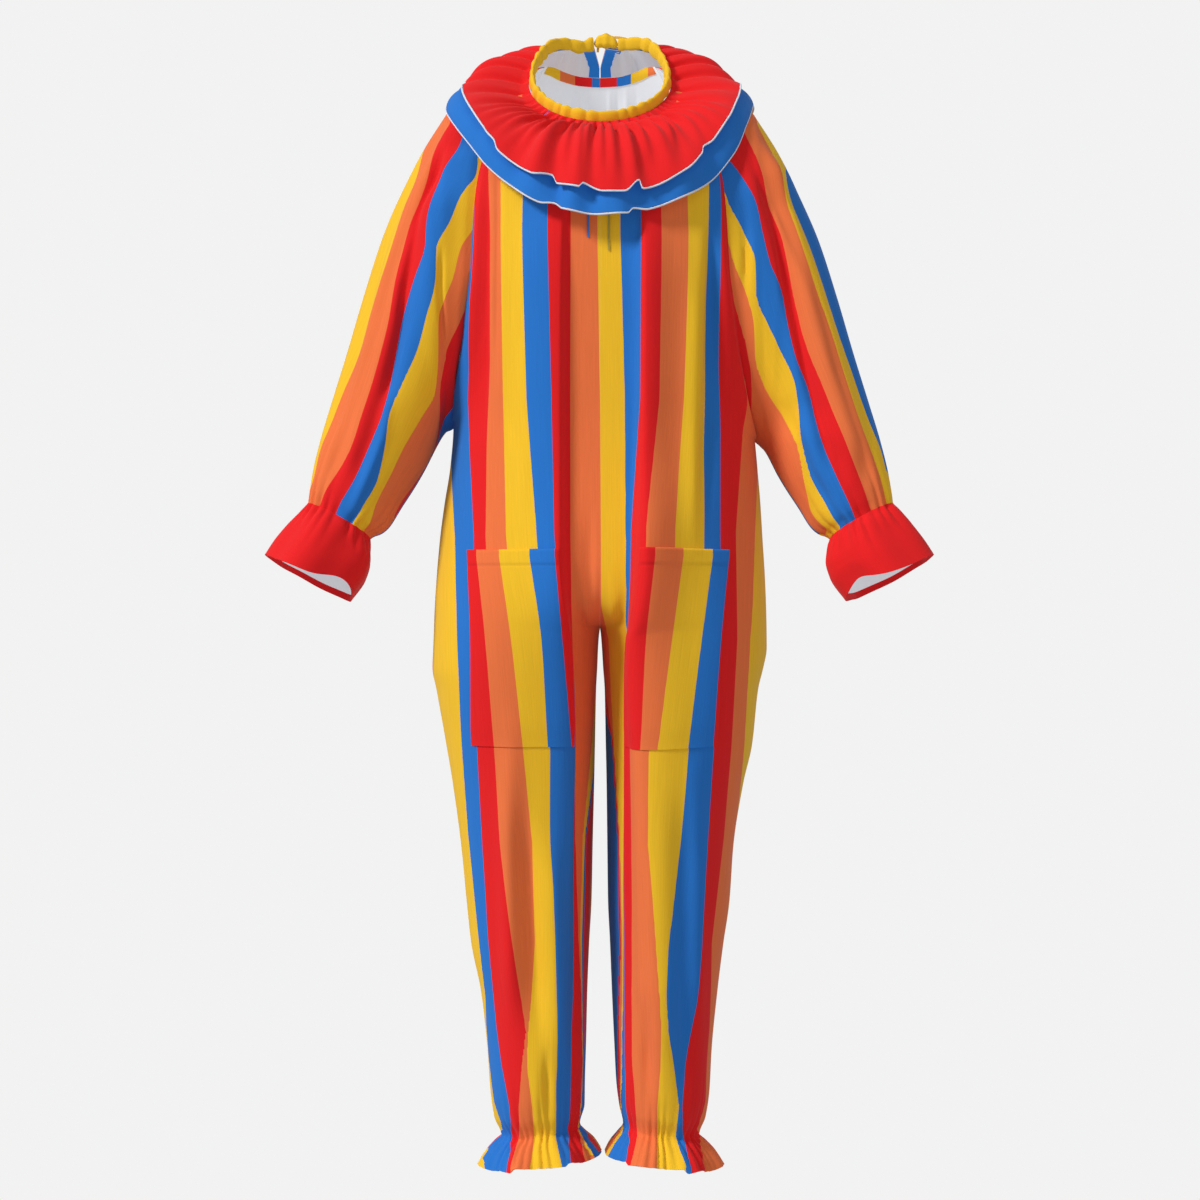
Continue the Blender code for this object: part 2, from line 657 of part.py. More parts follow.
def facing(side, panel):
    """The turned hem inside the back neckline, from the panel's own points moved in."""
    count = panel["rows"][0]
    top, under = panel["outer"][:count], panel["outer"][count : 2 * count]
    directions = panel["inward"][:count]
    step = np.linalg.norm(under - top, axis=1, keepdims=True)
    lower = top + (under - top) * FACING_DEPTH / step
    rows = [top + directions * (CLOTH + LAYER_GAP), lower + directions * (CLOTH + LAYER_GAP)]
    faces = grid_faces(rows, loop=False)
    both = np.concatenate([directions, directions])
    wall(f"facing_{side}", flat_rows(rows), both, faces, FACING_THICK, "red")


def tape(side, x, top_z, bottom_z):
    """A narrow tape end that hangs on the chest, from under the collar."""
    heights = np.linspace(top_z, bottom_z, 5)
    rows = []
    for z in heights:
        row = []
        for offset in (-TAPE_WIDTH / 2, TAPE_WIDTH / 2):
            depth = float(depth_at(side, "front", abs(x + offset), z))
            row.append((x + offset, -depth - LAYER_GAP - TAPE_THICK, z))
        rows.append(np.array(row))
    faces = grid_faces(rows, loop=False)
    outer = flat_rows(rows)
    inward = np.tile([0.0, 1.0, 0.0], (len(outer), 1))
    wall(f"tape_{side}", outer, inward, faces, TAPE_THICK, "blue")


# ---- sleeves and cuffs ---------------------------------------------------------------------
def ring_points(columns, ring, side, angles, underarm, gathers=0):
    """Points round a sleeve: 0 beside the body, 90 in front, 180 on the outer side."""
    sign = SIDES[side]
    value = {name: float(read(columns, name, ring)) for name in columns}
    inner = np.array([sign * value["inner_x"], value["middle_y"], value["inner_z"]])
    outer = np.array([sign * value["outer_x"], value["middle_y"], value["outer_z"]])
    if columns is SLEEVE:  # the first rings follow this side's own underarm
        shift = underarm - np.array([sign * UNDERARM[0], 0, UNDERARM[1]])
        inner = inner + shift * (1 - ease(ring / UNDERARM_FADES))
    middle, arm = (inner + outer) / 2, (inner - outer) / 2
    tilt = math.radians(value["tilt"])
    forward = np.array([0, -math.cos(tilt), math.sin(tilt)])
    turn = np.radians(angles)
    depth = np.where(np.sin(turn) > 0, value["front"], value["back"])
    round_x = np.sign(np.cos(turn)) * np.abs(np.cos(turn)) ** SLEEVE_ROUNDNESS
    round_y = np.sign(np.sin(turn)) * np.abs(np.sin(turn)) ** SLEEVE_ROUNDNESS
    points = middle + round_x[:, None] * arm + (depth * round_y)[:, None] * forward
    if gathers:
        radial = unit(points - middle)
        wave = value["gather"] * np.sin(gathers * turn)
        points = points + radial * wave[:, None]
    return points


def sleeve(side, front, back):
    """A raglan sleeve from the armhole and neckline to the wrist. It turns the panels' inward
    directions at the raglan seams to halve the angle between panel and sleeve."""
    underarm = front["seam"][0] * (1, 0, 1)
    neck_steps = SLEEVE_COLUMNS - 2 * UPPER_ROWS
    turns = np.linspace(RAGLAN_ANGLE["front"], RAGLAN_ANGLE["back"], neck_steps + 1)[1:-1]
    first = [underarm, *front["seam"][1:], *neckline(side, turns), *back["seam"][:0:-1]]
    first = np.array(first)
    uniform = np.arange(SLEEVE_COLUMNS) * 360.0 / SLEEVE_COLUMNS
    high, low = float(read(SLEEVE, "outer_z", 1)), float(underarm[2])
    level = np.clip((first[:, 2] - low) / (high - low), 0, 1)
    seam_like = np.degrees(np.arccos(1 - 2 * level))
    seam_like = np.where(np.arange(SLEEVE_COLUMNS) > SLEEVE_COLUMNS / 2, 360 - seam_like, seam_like)
    top = np.abs(uniform - 180) < TOP_ANGLE
    seam_like = np.where(top, 180 + (uniform - 180) * TOP_SPREAD, seam_like)
    rows = [first]
    for ring in SLEEVE_RINGS:
        mix = ease(ring / SEAM_FADES)
        angles = (1 - mix) * seam_like + mix * uniform
        rows.append(ring_points(SLEEVE, ring, side, angles, underarm))
    faces = grid_faces(rows, loop=True)
    flat = flat_rows(rows)
    middles = np.concatenate([np.tile(row.mean(axis=0), (len(row), 1)) for row in rows])
    inward = -mesh_normals(flat, faces, middles)
    for step in range(UPPER_ROWS + 1):
        ring_index = {"front": step, "back": (SLEEVE_COLUMNS - step) % SLEEVE_COLUMNS}
        for face, panel in (("front", front), ("back", back)):
            own, index = ring_index[face], panel["edge"][step]
            shared = inward[own] + panel["inward"][index]
            if step == 0:
                shared[1] = 0
            panel["inward"][index] = unit(shared)
    for step in range(UPPER_ROWS + 1):
        inward[step] = front["inward"][front["edge"][step]]
        inward[(SLEEVE_COLUMNS - step) % SLEEVE_COLUMNS] = back["inward"][back["edge"][step]]
    outer = flat.copy()
    outer[:SLEEVE_COLUMNS] = rows[0] + unit(rows[1] - rows[0]) * SEAM * 1.5
    wall(f"sleeve_{side}", outer, inward, faces, CLOTH, "blue")


def cuff(side):
    """The flounce below the wrist's elastic."""
    count = 4 * CUFF_GATHERS
    angles = np.arange(count) * 360.0 / count
    rows = [ring_points(CUFF, ring, side, angles, None, CUFF_GATHERS) for ring in CUFF_RINGS]
    faces = grid_faces(rows, loop=True)
    flat = flat_rows(rows)
    middles = np.concatenate([np.tile(row.mean(axis=0), (len(row), 1)) for row in rows])
    directions = -mesh_normals(flat, faces, middles)
    wall(f"cuff_{side}", flat, directions, faces, CLOTH, "red")


# ---- neck band and collar ------------------------------------------------------------------
def band_ring(angles):
    """The middle line of the neck band; 0 in front, 180 at the back, left side below zero."""
    turn = np.radians(angles)
    depth = np.where(np.cos(turn) > 0, BAND_FRONT, BAND_BACK)
    height = read(BAND_Z, "z", np.abs(angles))
    return np.stack([BAND_X * np.sin(turn), -depth * np.cos(turn), height], axis=1)


def band_frame(angles):
    """The band's middle line, and its upward and outward directions, square to the line."""
    middle = band_ring(angles)
    tangent = unit(band_ring(angles + 0.5) - band_ring(angles - 0.5))
    tall = np.tile(BAND_UP, (len(middle), 1))
    tall = unit(tall - tangent * np.sum(tall * tangent, axis=1, keepdims=True))
    return middle, tall, np.cross(tangent, tall)


def neck_band():
    """The gathered casing round the neck's elastic, thicker at each pucker."""
    count = 2 * BAND_PUCKERS + 1
    angles = np.linspace(BAND_ENDS["left"], BAND_ENDS["right"], count)
    middle, tall, thick = band_frame(angles)
    wave = 1 + PUCKER * np.cos(np.arange(count) * math.pi)
    shape = [
        (math.cos(a) * 0.5 * BAND_TALL, math.sin(a) * 0.5 * BAND_THICK)
        for a in np.arange(BAND_SIDES) * 2 * math.pi / BAND_SIDES
    ]
    build = bmesh.new()
    rings = []
    for i in range(count):
        ring = [middle[i] + tall[i] * u * wave[i] + thick[i] * v * wave[i] for u, v in shape]
        rings.append([build.verts.new(p) for p in ring])
    for a, b in zip(rings[:-1], rings[1:]):
        for j in range(BAND_SIDES):
            k = (j + 1) % BAND_SIDES
            build.faces.new((a[j], a[k], b[k], b[j]))
    build.faces.new(rings[0])
    build.faces.new(rings[-1][::-1])
    finish_solid("neck_band", build, "yellow")


def finish_solid(name, build, colour):
    bmesh.ops.triangulate(build, faces=build.faces)
    bmesh.ops.recalc_face_normals(build, faces=build.faces)
    mesh = bpy.data.meshes.new(name)
    build.to_mesh(mesh)
    build.free()
    mesh.shade_smooth()
    mesh.materials.append(material(colour))
    made = bpy.data.objects.new(name, mesh)
    collection.objects.link(made)
    return made


def flute_height(layer, angle):
    return sum(
        height * math.exp(-(((angle - at) / width) ** 2)) for at, width, height in FLUTES[layer]
    )


def collar_point(layer, angle, reach):
    """A collar layer by angle round the neck and reach from the band (0) to the blue edge (1)."""
    turn = math.radians(angle)
    cosine, sine = math.cos(turn), math.sin(turn)
    outward = np.array([sine, -cosine, 0.0])
    middle, tall, thick = (value[0] for value in band_frame(np.array([angle])))
    root = middle + thick * COLLAR_ROOT_OUT - tall * COLLAR_ROOT_DOWN
    far_y = COLLAR_EDGE["front"] if cosine > 0 else COLLAR_EDGE["back"]
    edge_z = float(read(COLLAR_EDGE_Z, "z", angle))
    edge = np.array([COLLAR_EDGE["x"] * sine, -far_y * cosine, edge_z])
    swing = reach * math.pi / 2
    point = root + (edge - root) * (math.sin(swing), math.sin(swing), 1 - math.cos(swing))
    point[2] += float(read(COLLAR_CROWN, "rise", abs(angle))) * math.sin(math.pi * reach)
    across, drop = np.linalg.norm((edge - root)[:2]), abs(edge[2] - root[2])
    normal = outward * drop * math.sin(swing) + tall * across * math.cos(swing)
    normal = unit(normal + outward * 1e-6)
    lift = flute_height("blue", angle) * reach**FLUTE_GROWTH
    if layer == "red":
        step = reach / float(read(RED_SHARE, "share", angle))
        lift += flute_height("red", angle) * step**FLUTE_GROWTH
    point[2] += FLUTE_RISE * lift
    if layer == "red":
        lift += LAYER_LIFT + LAYER_SPREAD * reach
    return point + normal * lift


def collar(layer):
    """A collar layer open at the centre back, its edging and the hems of its ends."""
    angles = np.linspace(-COLLAR_STOPS, COLLAR_STOPS, COLLAR_COLUMNS)
    share = read(RED_SHARE, "share", angles)
    reaches = [share * step / COLLAR_ROWS for step in range(COLLAR_ROWS + 1)]
    if layer == "blue":
        reaches.append(np.ones(COLLAR_COLUMNS))
    rows = []
    for reach in reaches:
        row = np.array([collar_point(layer, a, r) for a, r in zip(angles, reach)])
        spread = SLIT_SPREAD * np.maximum(0, 1 - reach / SLIT_REACH)
        behind = np.abs(angles) > 90
        near_end = np.where(behind, np.maximum(0, 1 - np.abs(row[:, 0]) / SLIT_FADE), 0)
        row[:, 0] += np.sign(angles) * spread * near_end
        rows.append(row)
    faces = grid_faces(rows, loop=False)
    flat = flat_rows(rows)
    below = np.tile([0.0, 0.0, -0.30], (len(flat), 1))
    inward = -mesh_normals(flat, faces, below)
    ends = np.isin(np.arange(len(flat)) % COLLAR_COLUMNS, (0, COLLAR_COLUMNS - 1))
    inward[ends, 0] = 0
    inward = unit(inward)
    wall(f"collar_{layer}", flat, inward, faces, CLOTH, layer)
    edging(layer, rows, inward[-COLLAR_COLUMNS:])
    return rows, inward


def edging(layer, rows, inward):
    """The narrow white band sewn to the edge of a collar layer."""
    away = unit(rows[-1] - rows[-2])
    away[[0, -1], 0] = 0
    start = rows[-1] + away * SEAM - inward * (EDGING_THICK - CLOTH) / 2
    strip = [start, start + away * EDGING_WIDTH]
    faces = grid_faces(strip, loop=False)
    both = np.concatenate([inward, inward])
    wall(f"edging_{layer}", flat_rows(strip), both, faces, EDGING_THICK, "white")


def placket(side, rows, inward):
    """The hem along one end of the blue layer, on its inner face."""
    end, near = (0, 1) if side == "left" else (COLLAR_COLUMNS - 1, COLLAR_COLUMNS - 2)
    strip, directions = [], []
    for i, row in enumerate(rows):
        at_end, at_near = inward[i * COLLAR_COLUMNS + end], inward[i * COLLAR_COLUMNS + near]
        share = min(HEM_STRIP / np.linalg.norm(row[near] - row[end]), 0.9)
        pair = []
        for t in (0.0, share):
            direction = (1 - t) * at_end + t * at_near
            point = (1 - t) * row[end] + t * row[near]
            pair.append(point + direction * (CLOTH + HEM_GAP))
            directions.append(direction)
        strip.append(np.array(pair))
    faces = grid_faces(strip, loop=False)
    wall(f"placket_{side}", flat_rows(strip), np.array(directions), faces, HEM_THICK, "blue")


def tie():
    """The knot that closes the band at the centre back, and its two short ends."""
    left, right = band_ring(np.array([BAND_ENDS["left"], BAND_ENDS["right"]]))
    middle, half = (left + right) / 2, (right - left) / 2
    half *= 1 - SEAM / np.linalg.norm(half)
    knot = bmesh.new()
    bmesh.ops.create_uvsphere(knot, u_segments=8, v_segments=6, radius=1.0)
    for vert in knot.verts:
        up, deep, along_band = vert.co
        arch = KNOT_ARCH * (1 - along_band**2)
        vert.co = middle + half * along_band + (0, KNOT_DEEP * deep, arch + KNOT_TALL * up)
    finish_solid("tie_knot", knot, "yellow")
    behind = middle[1] + KNOT_DEEP + SEAM
    for name, path in TIE_PATHS.items():
        line = np.array([(x, behind, z) for x, z in path])
        tangent = unit(np.gradient(line, axis=0))
        across = np.cross(tangent, [0.0, 1.0, 0.0]) * TIE_WIDTH / 2
        rows = [np.array([p - a, p + a]) for p, a in zip(line, across)]
        away = np.tile([0.0, 1.0, 0.0], (2 * len(rows), 1))
        wall(name, flat_rows(rows), away, grid_faces(rows, loop=False), TIE_THICK, "yellow")


# ---- the garment ---------------------------------------------------------------------------
for item in list(bpy.data.objects):
    bpy.data.objects.remove(item)
collection = bpy.data.collections.new("clown_jumpsuit")
bpy.context.scene.collection.children.link(collection)

for side_name in SIDES:
    panels = {face_name: body_panel(side_name, face_name) for face_name in FACES}
    sleeve(side_name, panels["front"], panels["back"])
    for colour_name, panel in zip(("orange", "yellow"), panels.values()):
        wall(panel["name"], panel["outer"], panel["inward"], panel["faces"], CLOTH, colour_name)
    pocket(side_name, panels["front"])
    facing(side_name, panels["back"])
    cuff(side_name)
neck_band()
collar("red")
blue_rows, blue_inward = collar("blue")
for side_name in SIDES:
    placket(side_name, blue_rows, blue_inward)
tie()
for side_name, place in TAPES.items():
    tape(side_name, *place)
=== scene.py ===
"""Looks of the clown jumpsuit: fine cloth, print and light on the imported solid."""

import math

import bpy
import numpy as np
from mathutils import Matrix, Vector


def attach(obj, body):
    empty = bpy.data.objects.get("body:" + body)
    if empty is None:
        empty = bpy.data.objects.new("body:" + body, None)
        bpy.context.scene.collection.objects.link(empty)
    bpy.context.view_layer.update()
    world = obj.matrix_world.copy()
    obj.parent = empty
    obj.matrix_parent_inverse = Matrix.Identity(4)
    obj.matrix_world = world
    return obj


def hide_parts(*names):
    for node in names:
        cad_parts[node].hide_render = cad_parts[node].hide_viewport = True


# ---- driving dimensions, in metres, and tables with lengths in millimetres ----------
MM = 1000.0  # millimetres in a metre
PLAIN = ("angle", "ring", "tilt", "share", "number")  # the tables' columns that aren't lengths
CLOTH, THIN, NARROW = 0.0015, 0.0008, 0.0005  # thickness of a single layer
SEAM = 0.0003  # gap between two pieces at a seam
LAYER_GAP = 0.0004  # gap between a panel and a piece that lies on it
SIDES = {"left": -1.0, "right": 1.0}
FACES = {"front": -1.0, "back": 1.0}
ROUNDNESS = 2.2  # exponent of the rounded outer quarter of a body section
SLEEVE_ROUNDNESS = 0.95  # exponent of a sleeve's ring; 1 would be an ellipse


def table(names, *rows):
    """Columns by name, with the first column in rising order."""
    columns = zip(names.split(), zip(*sorted(rows)))
    return {n: np.array(column, float) / (1 if n in PLAIN else MM) for n, column in columns}


# Level sections of the body and legs. half: side seam, inner: inseam (below zero above the crotch,
# where the two legs are one), lobe: where a section is deepest, front and back: depths.
BODY = table(
    "z half_left half_right inner_left inner_right lobe front back",
    (15, 88, 88, -600, -600, 20, 50, 64), (-30, 104, 104, -600, -600, 25, 56, 83),
    (-60, 140, 140, -600, -600, 30, 62, 95), (-82, 168, 168, -600, -600, 35, 68, 102),
    (-128, 203, 203, -600, -600, 45, 104, 112), (-200, 208, 208, -600, -600, 50, 124, 120),
    (-300, 205, 207, -600, -600, 55, 132, 122), (-400, 196, 203, -600, -600, 55, 131, 120),
    (-455, 190, 200, -600, -600, 55, 130, 120), (-510, 194, 204, -600, -600, 56, 132, 122),
    (-558, 201.5, 208, -600, -600, 58, 136, 127), (-600, 207, 210.5, -440, -440, 62, 140, 134),
    (-658, 212, 214, -200, -200, 80, 143, 142), (-702, 214.5, 215.5, -48, -48, 97, 143, 147),
    (-719, 215, 215.8, 0, 0, 102, 142, 147), (-745, 216, 216, 2.5, 2.5, 106, 140, 147),
    (-770, 217, 211.5, 3.5, 4, 108, 137, 146), (-797, 212, 205, 5, 6, 107, 134, 143),
    (-870, 199, 197, 6.5, 7.5, 102, 124, 133), (-918, 191, 186, 7.5, 8.5, 98, 117, 125),
    (-1000, 180, 173, 9.5, 9.5, 93, 105, 110), (-1072, 173, 168, 11, 10.4, 90, 96, 100),
    (-1127, 167, 160, 14, 13, 88, 89, 93), (-1191, 154, 152, 16.5, 15.5, 84, 82, 85),
    (-1260, 146, 145, 18, 18.5, 81, 75, 78), (-1312, 142, 142, 19.5, 21, 80, 69, 72),
    (-1345, 136, 136, 20, 25, 79, 61, 63), (-1369, 126, 127, 26, 30, 77, 51, 52),
    (-1380, 137, 138, 19, 23, 77, 60, 61), (-1394, 148, 150, 6, 13, 77, 69, 70),
    (-1408, 154, 157, -2, 6.4, 77, 75, 76),
)
UNDERARM_Z = {"left": -0.455, "right": -0.477}
CROTCH_Z = -0.719
ELASTIC_Z = -1.369  # the ankles' elastic
HEM_Z = -1.408
LEG_MIDDLE = 0.078  # x of an ankle's middle
ANKLE_TILT = 0.13  # fall of the ankle rings towards the outer side
TILT_STARTS_Z = -1.16

# The neckline, by angle round the neck: 0 at the front, 180 at the back.
NECK_X, NECK_FRONT, NECK_BACK = 0.094, 0.064, 0.070
NECKLINE = table(
    "angle z", (0, -76.4), (12, -75.7), (25, -70.4), (45, -56.4), (70, -34.8), (90, -14.5), (110, 7.5),
    (125, 19.5), (137, 21.5), (150, 17.5), (165, 13.2), (180, 12.3),
)
RAGLAN_ANGLE = {"front": 50.0, "back": 130.0}
# Raglan seams: distance from the middle by height.
RAGLAN = {
    "front": table(
        "z x", (-410, 185), (-350, 173.5), (-318, 170), (-266, 163), (-222, 160.7), (-179, 158),
        (-128, 150), (-95, 122), (-52, 72),
    ),
    "back": table(
        "z x", (-410, 184), (-350, 173), (-266, 164), (-200, 160), (-128, 148), (-70, 121), (21, 72),
    ),
}

# Rings of a sleeve from the armhole to the wrist: the ends of each ring's long diameter beside the
# body and on the outer side, the depths in front of and behind it, and how the arm leans forward.
SLEEVE = table(
    "ring inner_x inner_z outer_x outer_z front back middle_y tilt",
    (1, 199, -463, 199, -53, 98, 95, 0, 0), (2, 203, -468, 228, -100, 98, 95, -3, 1),
    (3, 208, -476, 254, -152, 96, 95, -6, 2), (4, 213, -486, 281, -215, 93, 93, -11, 3),
    (5, 219, -499, 305, -292, 88, 89, -17, 4), (6, 226, -514, 326, -368, 82, 84, -25, 6),
    (7, 236, -533, 344, -430, 75, 77, -34, 7), (8, 250, -556, 358, -480, 66, 67, -43, 9),
    (9, 268, -581, 367, -520, 55, 56, -51, 10), (10, 284, -597, 371, -548, 47, 47, -57, 11),
    (11, 292.5, -604, 372.4, -561.2, 42, 42, -60, 11),
)
LAST_RING = 11
UNDERARM = (0.190, -0.455)  # x and z of the underarm that the rings of a sleeve are drawn for
UNDERARM_FADES, SEAM_FADES = 9, 6  # rings by which the underarm and the raglan seam have no say
TOP_ANGLE, TOP_SPREAD = 61, 0.8  # the top of a sleeve's first ring, and how close its points lie
TOP_SPREAD_BACK, LEAST_TURN = 0.62, 8  # the same for the back, and the least turn between columns
CUFF = table(
    "ring inner_x inner_z outer_x outer_z front back middle_y tilt",
    (1, 292.5, -604.6, 372.6, -561.8, 42, 42, -60.3, 11),
    (2, 290.5, -616, 380, -570.5, 48, 48, -61, 11), (3, 290, -634, 393.5, -587, 54, 54, -62, 10),
    (4, 296, -656, 409.5, -607.5, 60, 60, -63, 9), (5, 315, -683, 422.5, -628, 64, 64, -64, 8),
)
ANKLE_GATHERS = 14
GATHER_LEAST, GATHER_BELOW, GATHER_ABOVE, GATHER_REACH = 0.0008, 0.0050, 0.0020, 0.05
INSEAM_CALM = 0.06  # the flounces are flatter where they face each other

# The two deep front folds, by height: x of the foot of the fold, x of its crest, and its height;
# then how far a fold's outer slope runs.
FOLD = {
    "left": table(
        "z foot crest height", (-1300, 34, 48, 0), (-1050, 32, 44, 8), (-870, 31, 42, 13),
        (-745, 34, 46, 15), (-620, 37, 51, 15), (-400, 38, 51, 13), (-250, 38, 50, 10),
        (-130, 36, 46, 0),
    ),
    "right": table(
        "z foot crest height", (-1300, 26, 40, 0), (-1050, 27, 40, 8), (-870, 31, 42, 14),
        (-745, 33, 45, 16), (-620, 36, 50, 16), (-400, 43, 55.5, 13), (-250, 45, 56, 11),
        (-130, 45, 56, 3),
    ),
}
FOLD_REACH = {
    "left": table("z reach", (-1300, 34), (-100, 34)),
    "right": table("z reach", (-1300, 40), (-600, 40), (-440, 24), (-100, 24)),
}
CENTRE_CALM, SIDE_CALM = 0.012, 0.030  # folds fade over this distance from a panel's edges

# Patch pockets: x of the outer edge by height.
POCKET = {
    "left": table("z outer", (-865, 161), (-745, 160.5), (-620, 165.5)),
    "right": table("z outer", (-865, 145), (-745, 150), (-620, 161)),
}

# The gathered neck band, low in front and high at the back, and the collar that hangs from it.
BAND_X, BAND_FRONT, BAND_BACK = 0.0880, 0.0650, 0.0640
BAND_Z = table(
    "angle z", (0, -69), (8, -68.4), (16, -66.5), (25, -63.1), (35, -57.6), (45, -50.5), (60, -37.4),
    (75, -22.2), (90, -4.5), (105, 16.5), (120, 34.5), (135, 47), (150, 53), (165, 54.5), (180, 57.4),
)
BAND_ENDS = {"left": -174.5, "right": 164.0}  # the knot is between them, right of the middle
BAND_UP = (0.0, -0.35, 0.94)  # the band leans forward
BAND_HIGH, BAND_DEEP, BAND_BUMPS = 0.0192, 0.0104, 31
BAND_SIDES, BAND_STEPS, BAND_SQUARE = 24, 16, 0.85  # steps to a bump; 1 would be an ellipse
# Where the band rises or dips: angle, width, height.
BAND_WAVES = (
    (-163, 7, -3), (-137, 13, 2.6), (-112, 10, -1.2), (137, 15, 2.8), (112, 9, -1.2),
)
KNOT_DEEP, KNOT_TALL, KNOT_ARCH = 0.0066, 0.0098, 0.0045
KNOT_SIDES, KNOT_ROWS, KNOT_END = 36, 33, 0.999  # the last one as a share of its half length
TIE_WIDTH, TIE_THICK = 0.0032, 0.0009
TIE_PATHS = {  # x and z along the tie's two short ends, behind the knot
    "tie_end_right": ((0.0080, 0.0625), (0.0190, 0.0665), (0.0300, 0.0655), (0.0425, 0.0618)),
    "tie_end_down": ((0.0060, 0.0600), (0.0005, 0.0575), (-0.0026, 0.0530), (-0.0030, 0.0465)),
}
COLLAR_EDGE = dict(x=0.199, front=0.156, back=0.150)  # the blue layer's half width and depths
# The height of the blue layer's outer edge; the left side is below zero.
COLLAR_EDGE_Z = table(
    "angle z", (-180, -88), (-165, -87), (-140, -78), (-112, -55), (-90, -40), (-76, -58.5),
    (-60, -95.5), (-45, -139), (-34, -166), (-20, -192), (0, -206), (8, -205), (20, -196), (30, -182),
    (44, -158), (56, -120), (70, -73.5), (90, -40), (112, -55), (140, -78), (165, -87), (180, -88),
)
COLLAR_ROOT_OUT, COLLAR_ROOT_LOW = 0.0047, 0.0062  # the collar starts at the band's lower edge
ROOT_LOWER, ROOT_OUT = 0.0062, 0.0045  # how much lower and further out it is sewn in front
ROOT_FRONT, ROOT_TURN, ROOT_FADE = 115, 60, 0.06  # up to this angle, fading over that, and reach
COLLAR_CROWN = table("angle rise", (0, 4), (50, 5), (100, 12), (135, 16), (180, 10))
# How much of the blue layer's width the red one covers.
RED_SHARE = table(
    "angle share", (-180, 0.78), (-135, 0.7), (-90, 0.57), (-70, 0.6), (-50, 0.68), (-38, 0.8),
    (-20, 0.85), (0, 0.87), (12, 0.88), (32, 0.83), (42, 0.74), (56, 0.66), (90, 0.6), (135, 0.7),
    (180, 0.78),
)
LAYER_LIFT, LAYER_SPREAD = 0.0022, 0.0048  # the red layer above the blue one, at the band and edge
# Folds that spread to the collar's edge: angle, width in degrees, height.
FLUTES = {
    "red": (
        (-88, 12, 4), (-58, 8, 5), (-41, 7, 6), (-22, 6, 7), (-6, 6, 6), (14, 6, 7), (36, 7, 6),
        (56, 8, 6), (84, 12, 5), (112, 11, 9), (142, 11, 10), (-116, 11, 9), (-146, 11, 10),
    ),
    "blue": (
        (-76, 12, 4), (-28, 7, 5), (-12, 7, 6), (8, 7, 6), (30, 8, 5), (58, 11, 4), (100, 12, 7),
        (134, 11, 9), (-104, 12, 7), (-138, 11, 9),
    ),
}
FLUTE_RISE = 0.1  # a flute's edge also rises, by this share of its height
FLUTE_GROWTH = 1.4  # exponent by which a flute grows from the band to the edge
# Gathers: angle at the band and the edge, reach where it starts to fade and ends, width, height.
COLLAR_GATHERS = {
    "red": (
        (-31, -36, 0.5, 0.9, 2.6, -6), (37.5, 31.5, 0.5, 0.92, 2.8, -7), (-42, -46, 0.45, 0.85, 3, -7),
        (50, 43, 0.45, 0.86, 3.4, -7.5), (-53.5, -56, 0.4, 0.8, 3.4, -6), (60, 55, 0.4, 0.8, 3.2, -6),
        (-25.5, -31, 0.6, 1.02, 4.6, -10.8), (-18.5, -17, 0.7, 1.06, 3.8, -10.8),
        (-12.5, -11, 0.6, 0.92, 3, -7.4), (-8, -6.5, 0.6, 0.86, 2.4, -4.7),
        (-2.5, -3.2, 0.65, 1.06, 3.2, -8.8), (2.6, 2.5, 0.6, 0.91, 2.4, -5.1),
        (8.5, 9, 0.65, 1.02, 3.4, -9.5), (15.5, 16.5, 0.7, 1.06, 3.6, -10.8),
        (23, 22, 0.6, 0.96, 3.8, -8.8), (30, 29, 0.55, 0.96, 3.4, -6.8),
        (44, 35.5, 0.45, 0.96, 5, -10.8), (-36, -41, 0.45, 0.96, 5, -10.1),
        (-47, -50, 0.4, 0.78, 4.5, -6.8), (55, 49, 0.4, 0.82, 5, -8.1), (66, 61, 0.31, 0.73, 5, -6.9),
        (-60, -61, 0.36, 0.76, 5.5, -8.1), (79, 76, 0.3, 0.7, 5.5, -6.3),
        (-74, -75, 0.3, 0.7, 5.5, -6.3), (-90, -92, 0.35, 0.85, 6, -7.5), (94, 97, 0.35, 0.87, 6, -7.5),
        (-103, -106, 0.35, 0.81, 4.8, -6.9), (107, 111, 0.37, 0.95, 5.5, -8.8),
        (-116, -120, 0.4, 1, 5.5, -8.8), (120, 124, 0.35, 0.85, 4.6, -6.3),
        (-129, -132, 0.35, 0.85, 4.8, -6.3), (133, 136, 0.41, 1.05, 5, -8.8),
        (-142, -145, 0.41, 1.03, 5, -8.8), (146, 149, 0.35, 0.81, 4.2, -5.6),
        (-155, -157, 0.35, 0.85, 4.2, -6.3), (158, 160, 0.37, 0.91, 4.4, -6.9),
        (-167, -168, 0.35, 0.81, 3.6, -5), (169, 170, 0.35, 0.79, 3.6, -5),
    ),
    "blue": (
        (-15.5, -15, 0.9, 1.3, 2.6, -4), (12, 12, 0.9, 1.3, 2.6, -4), (-33, -33, 0.8, 1.25, 4, -3),
        (24, 24, 0.8, 1.25, 3.4, -3), (-4, -4, 0.85, 1.25, 3, -2.2), (46, 44, 0.6, 1.2, 5, -3),
        (-52, -52, 0.5, 1.2, 5, -3), (104, 106, 0.5, 1.15, 6, -4), (-108, -110, 0.5, 1.15, 6, -4),
        (136, 138, 0.5, 1.15, 5, -4.5), (-134, -137, 0.5, 1.15, 5, -4.5), (158, 160, 0.4, 1.1, 4, -3.5),
        (-160, -161, 0.4, 1.1, 4, -3.5),
    ),
}
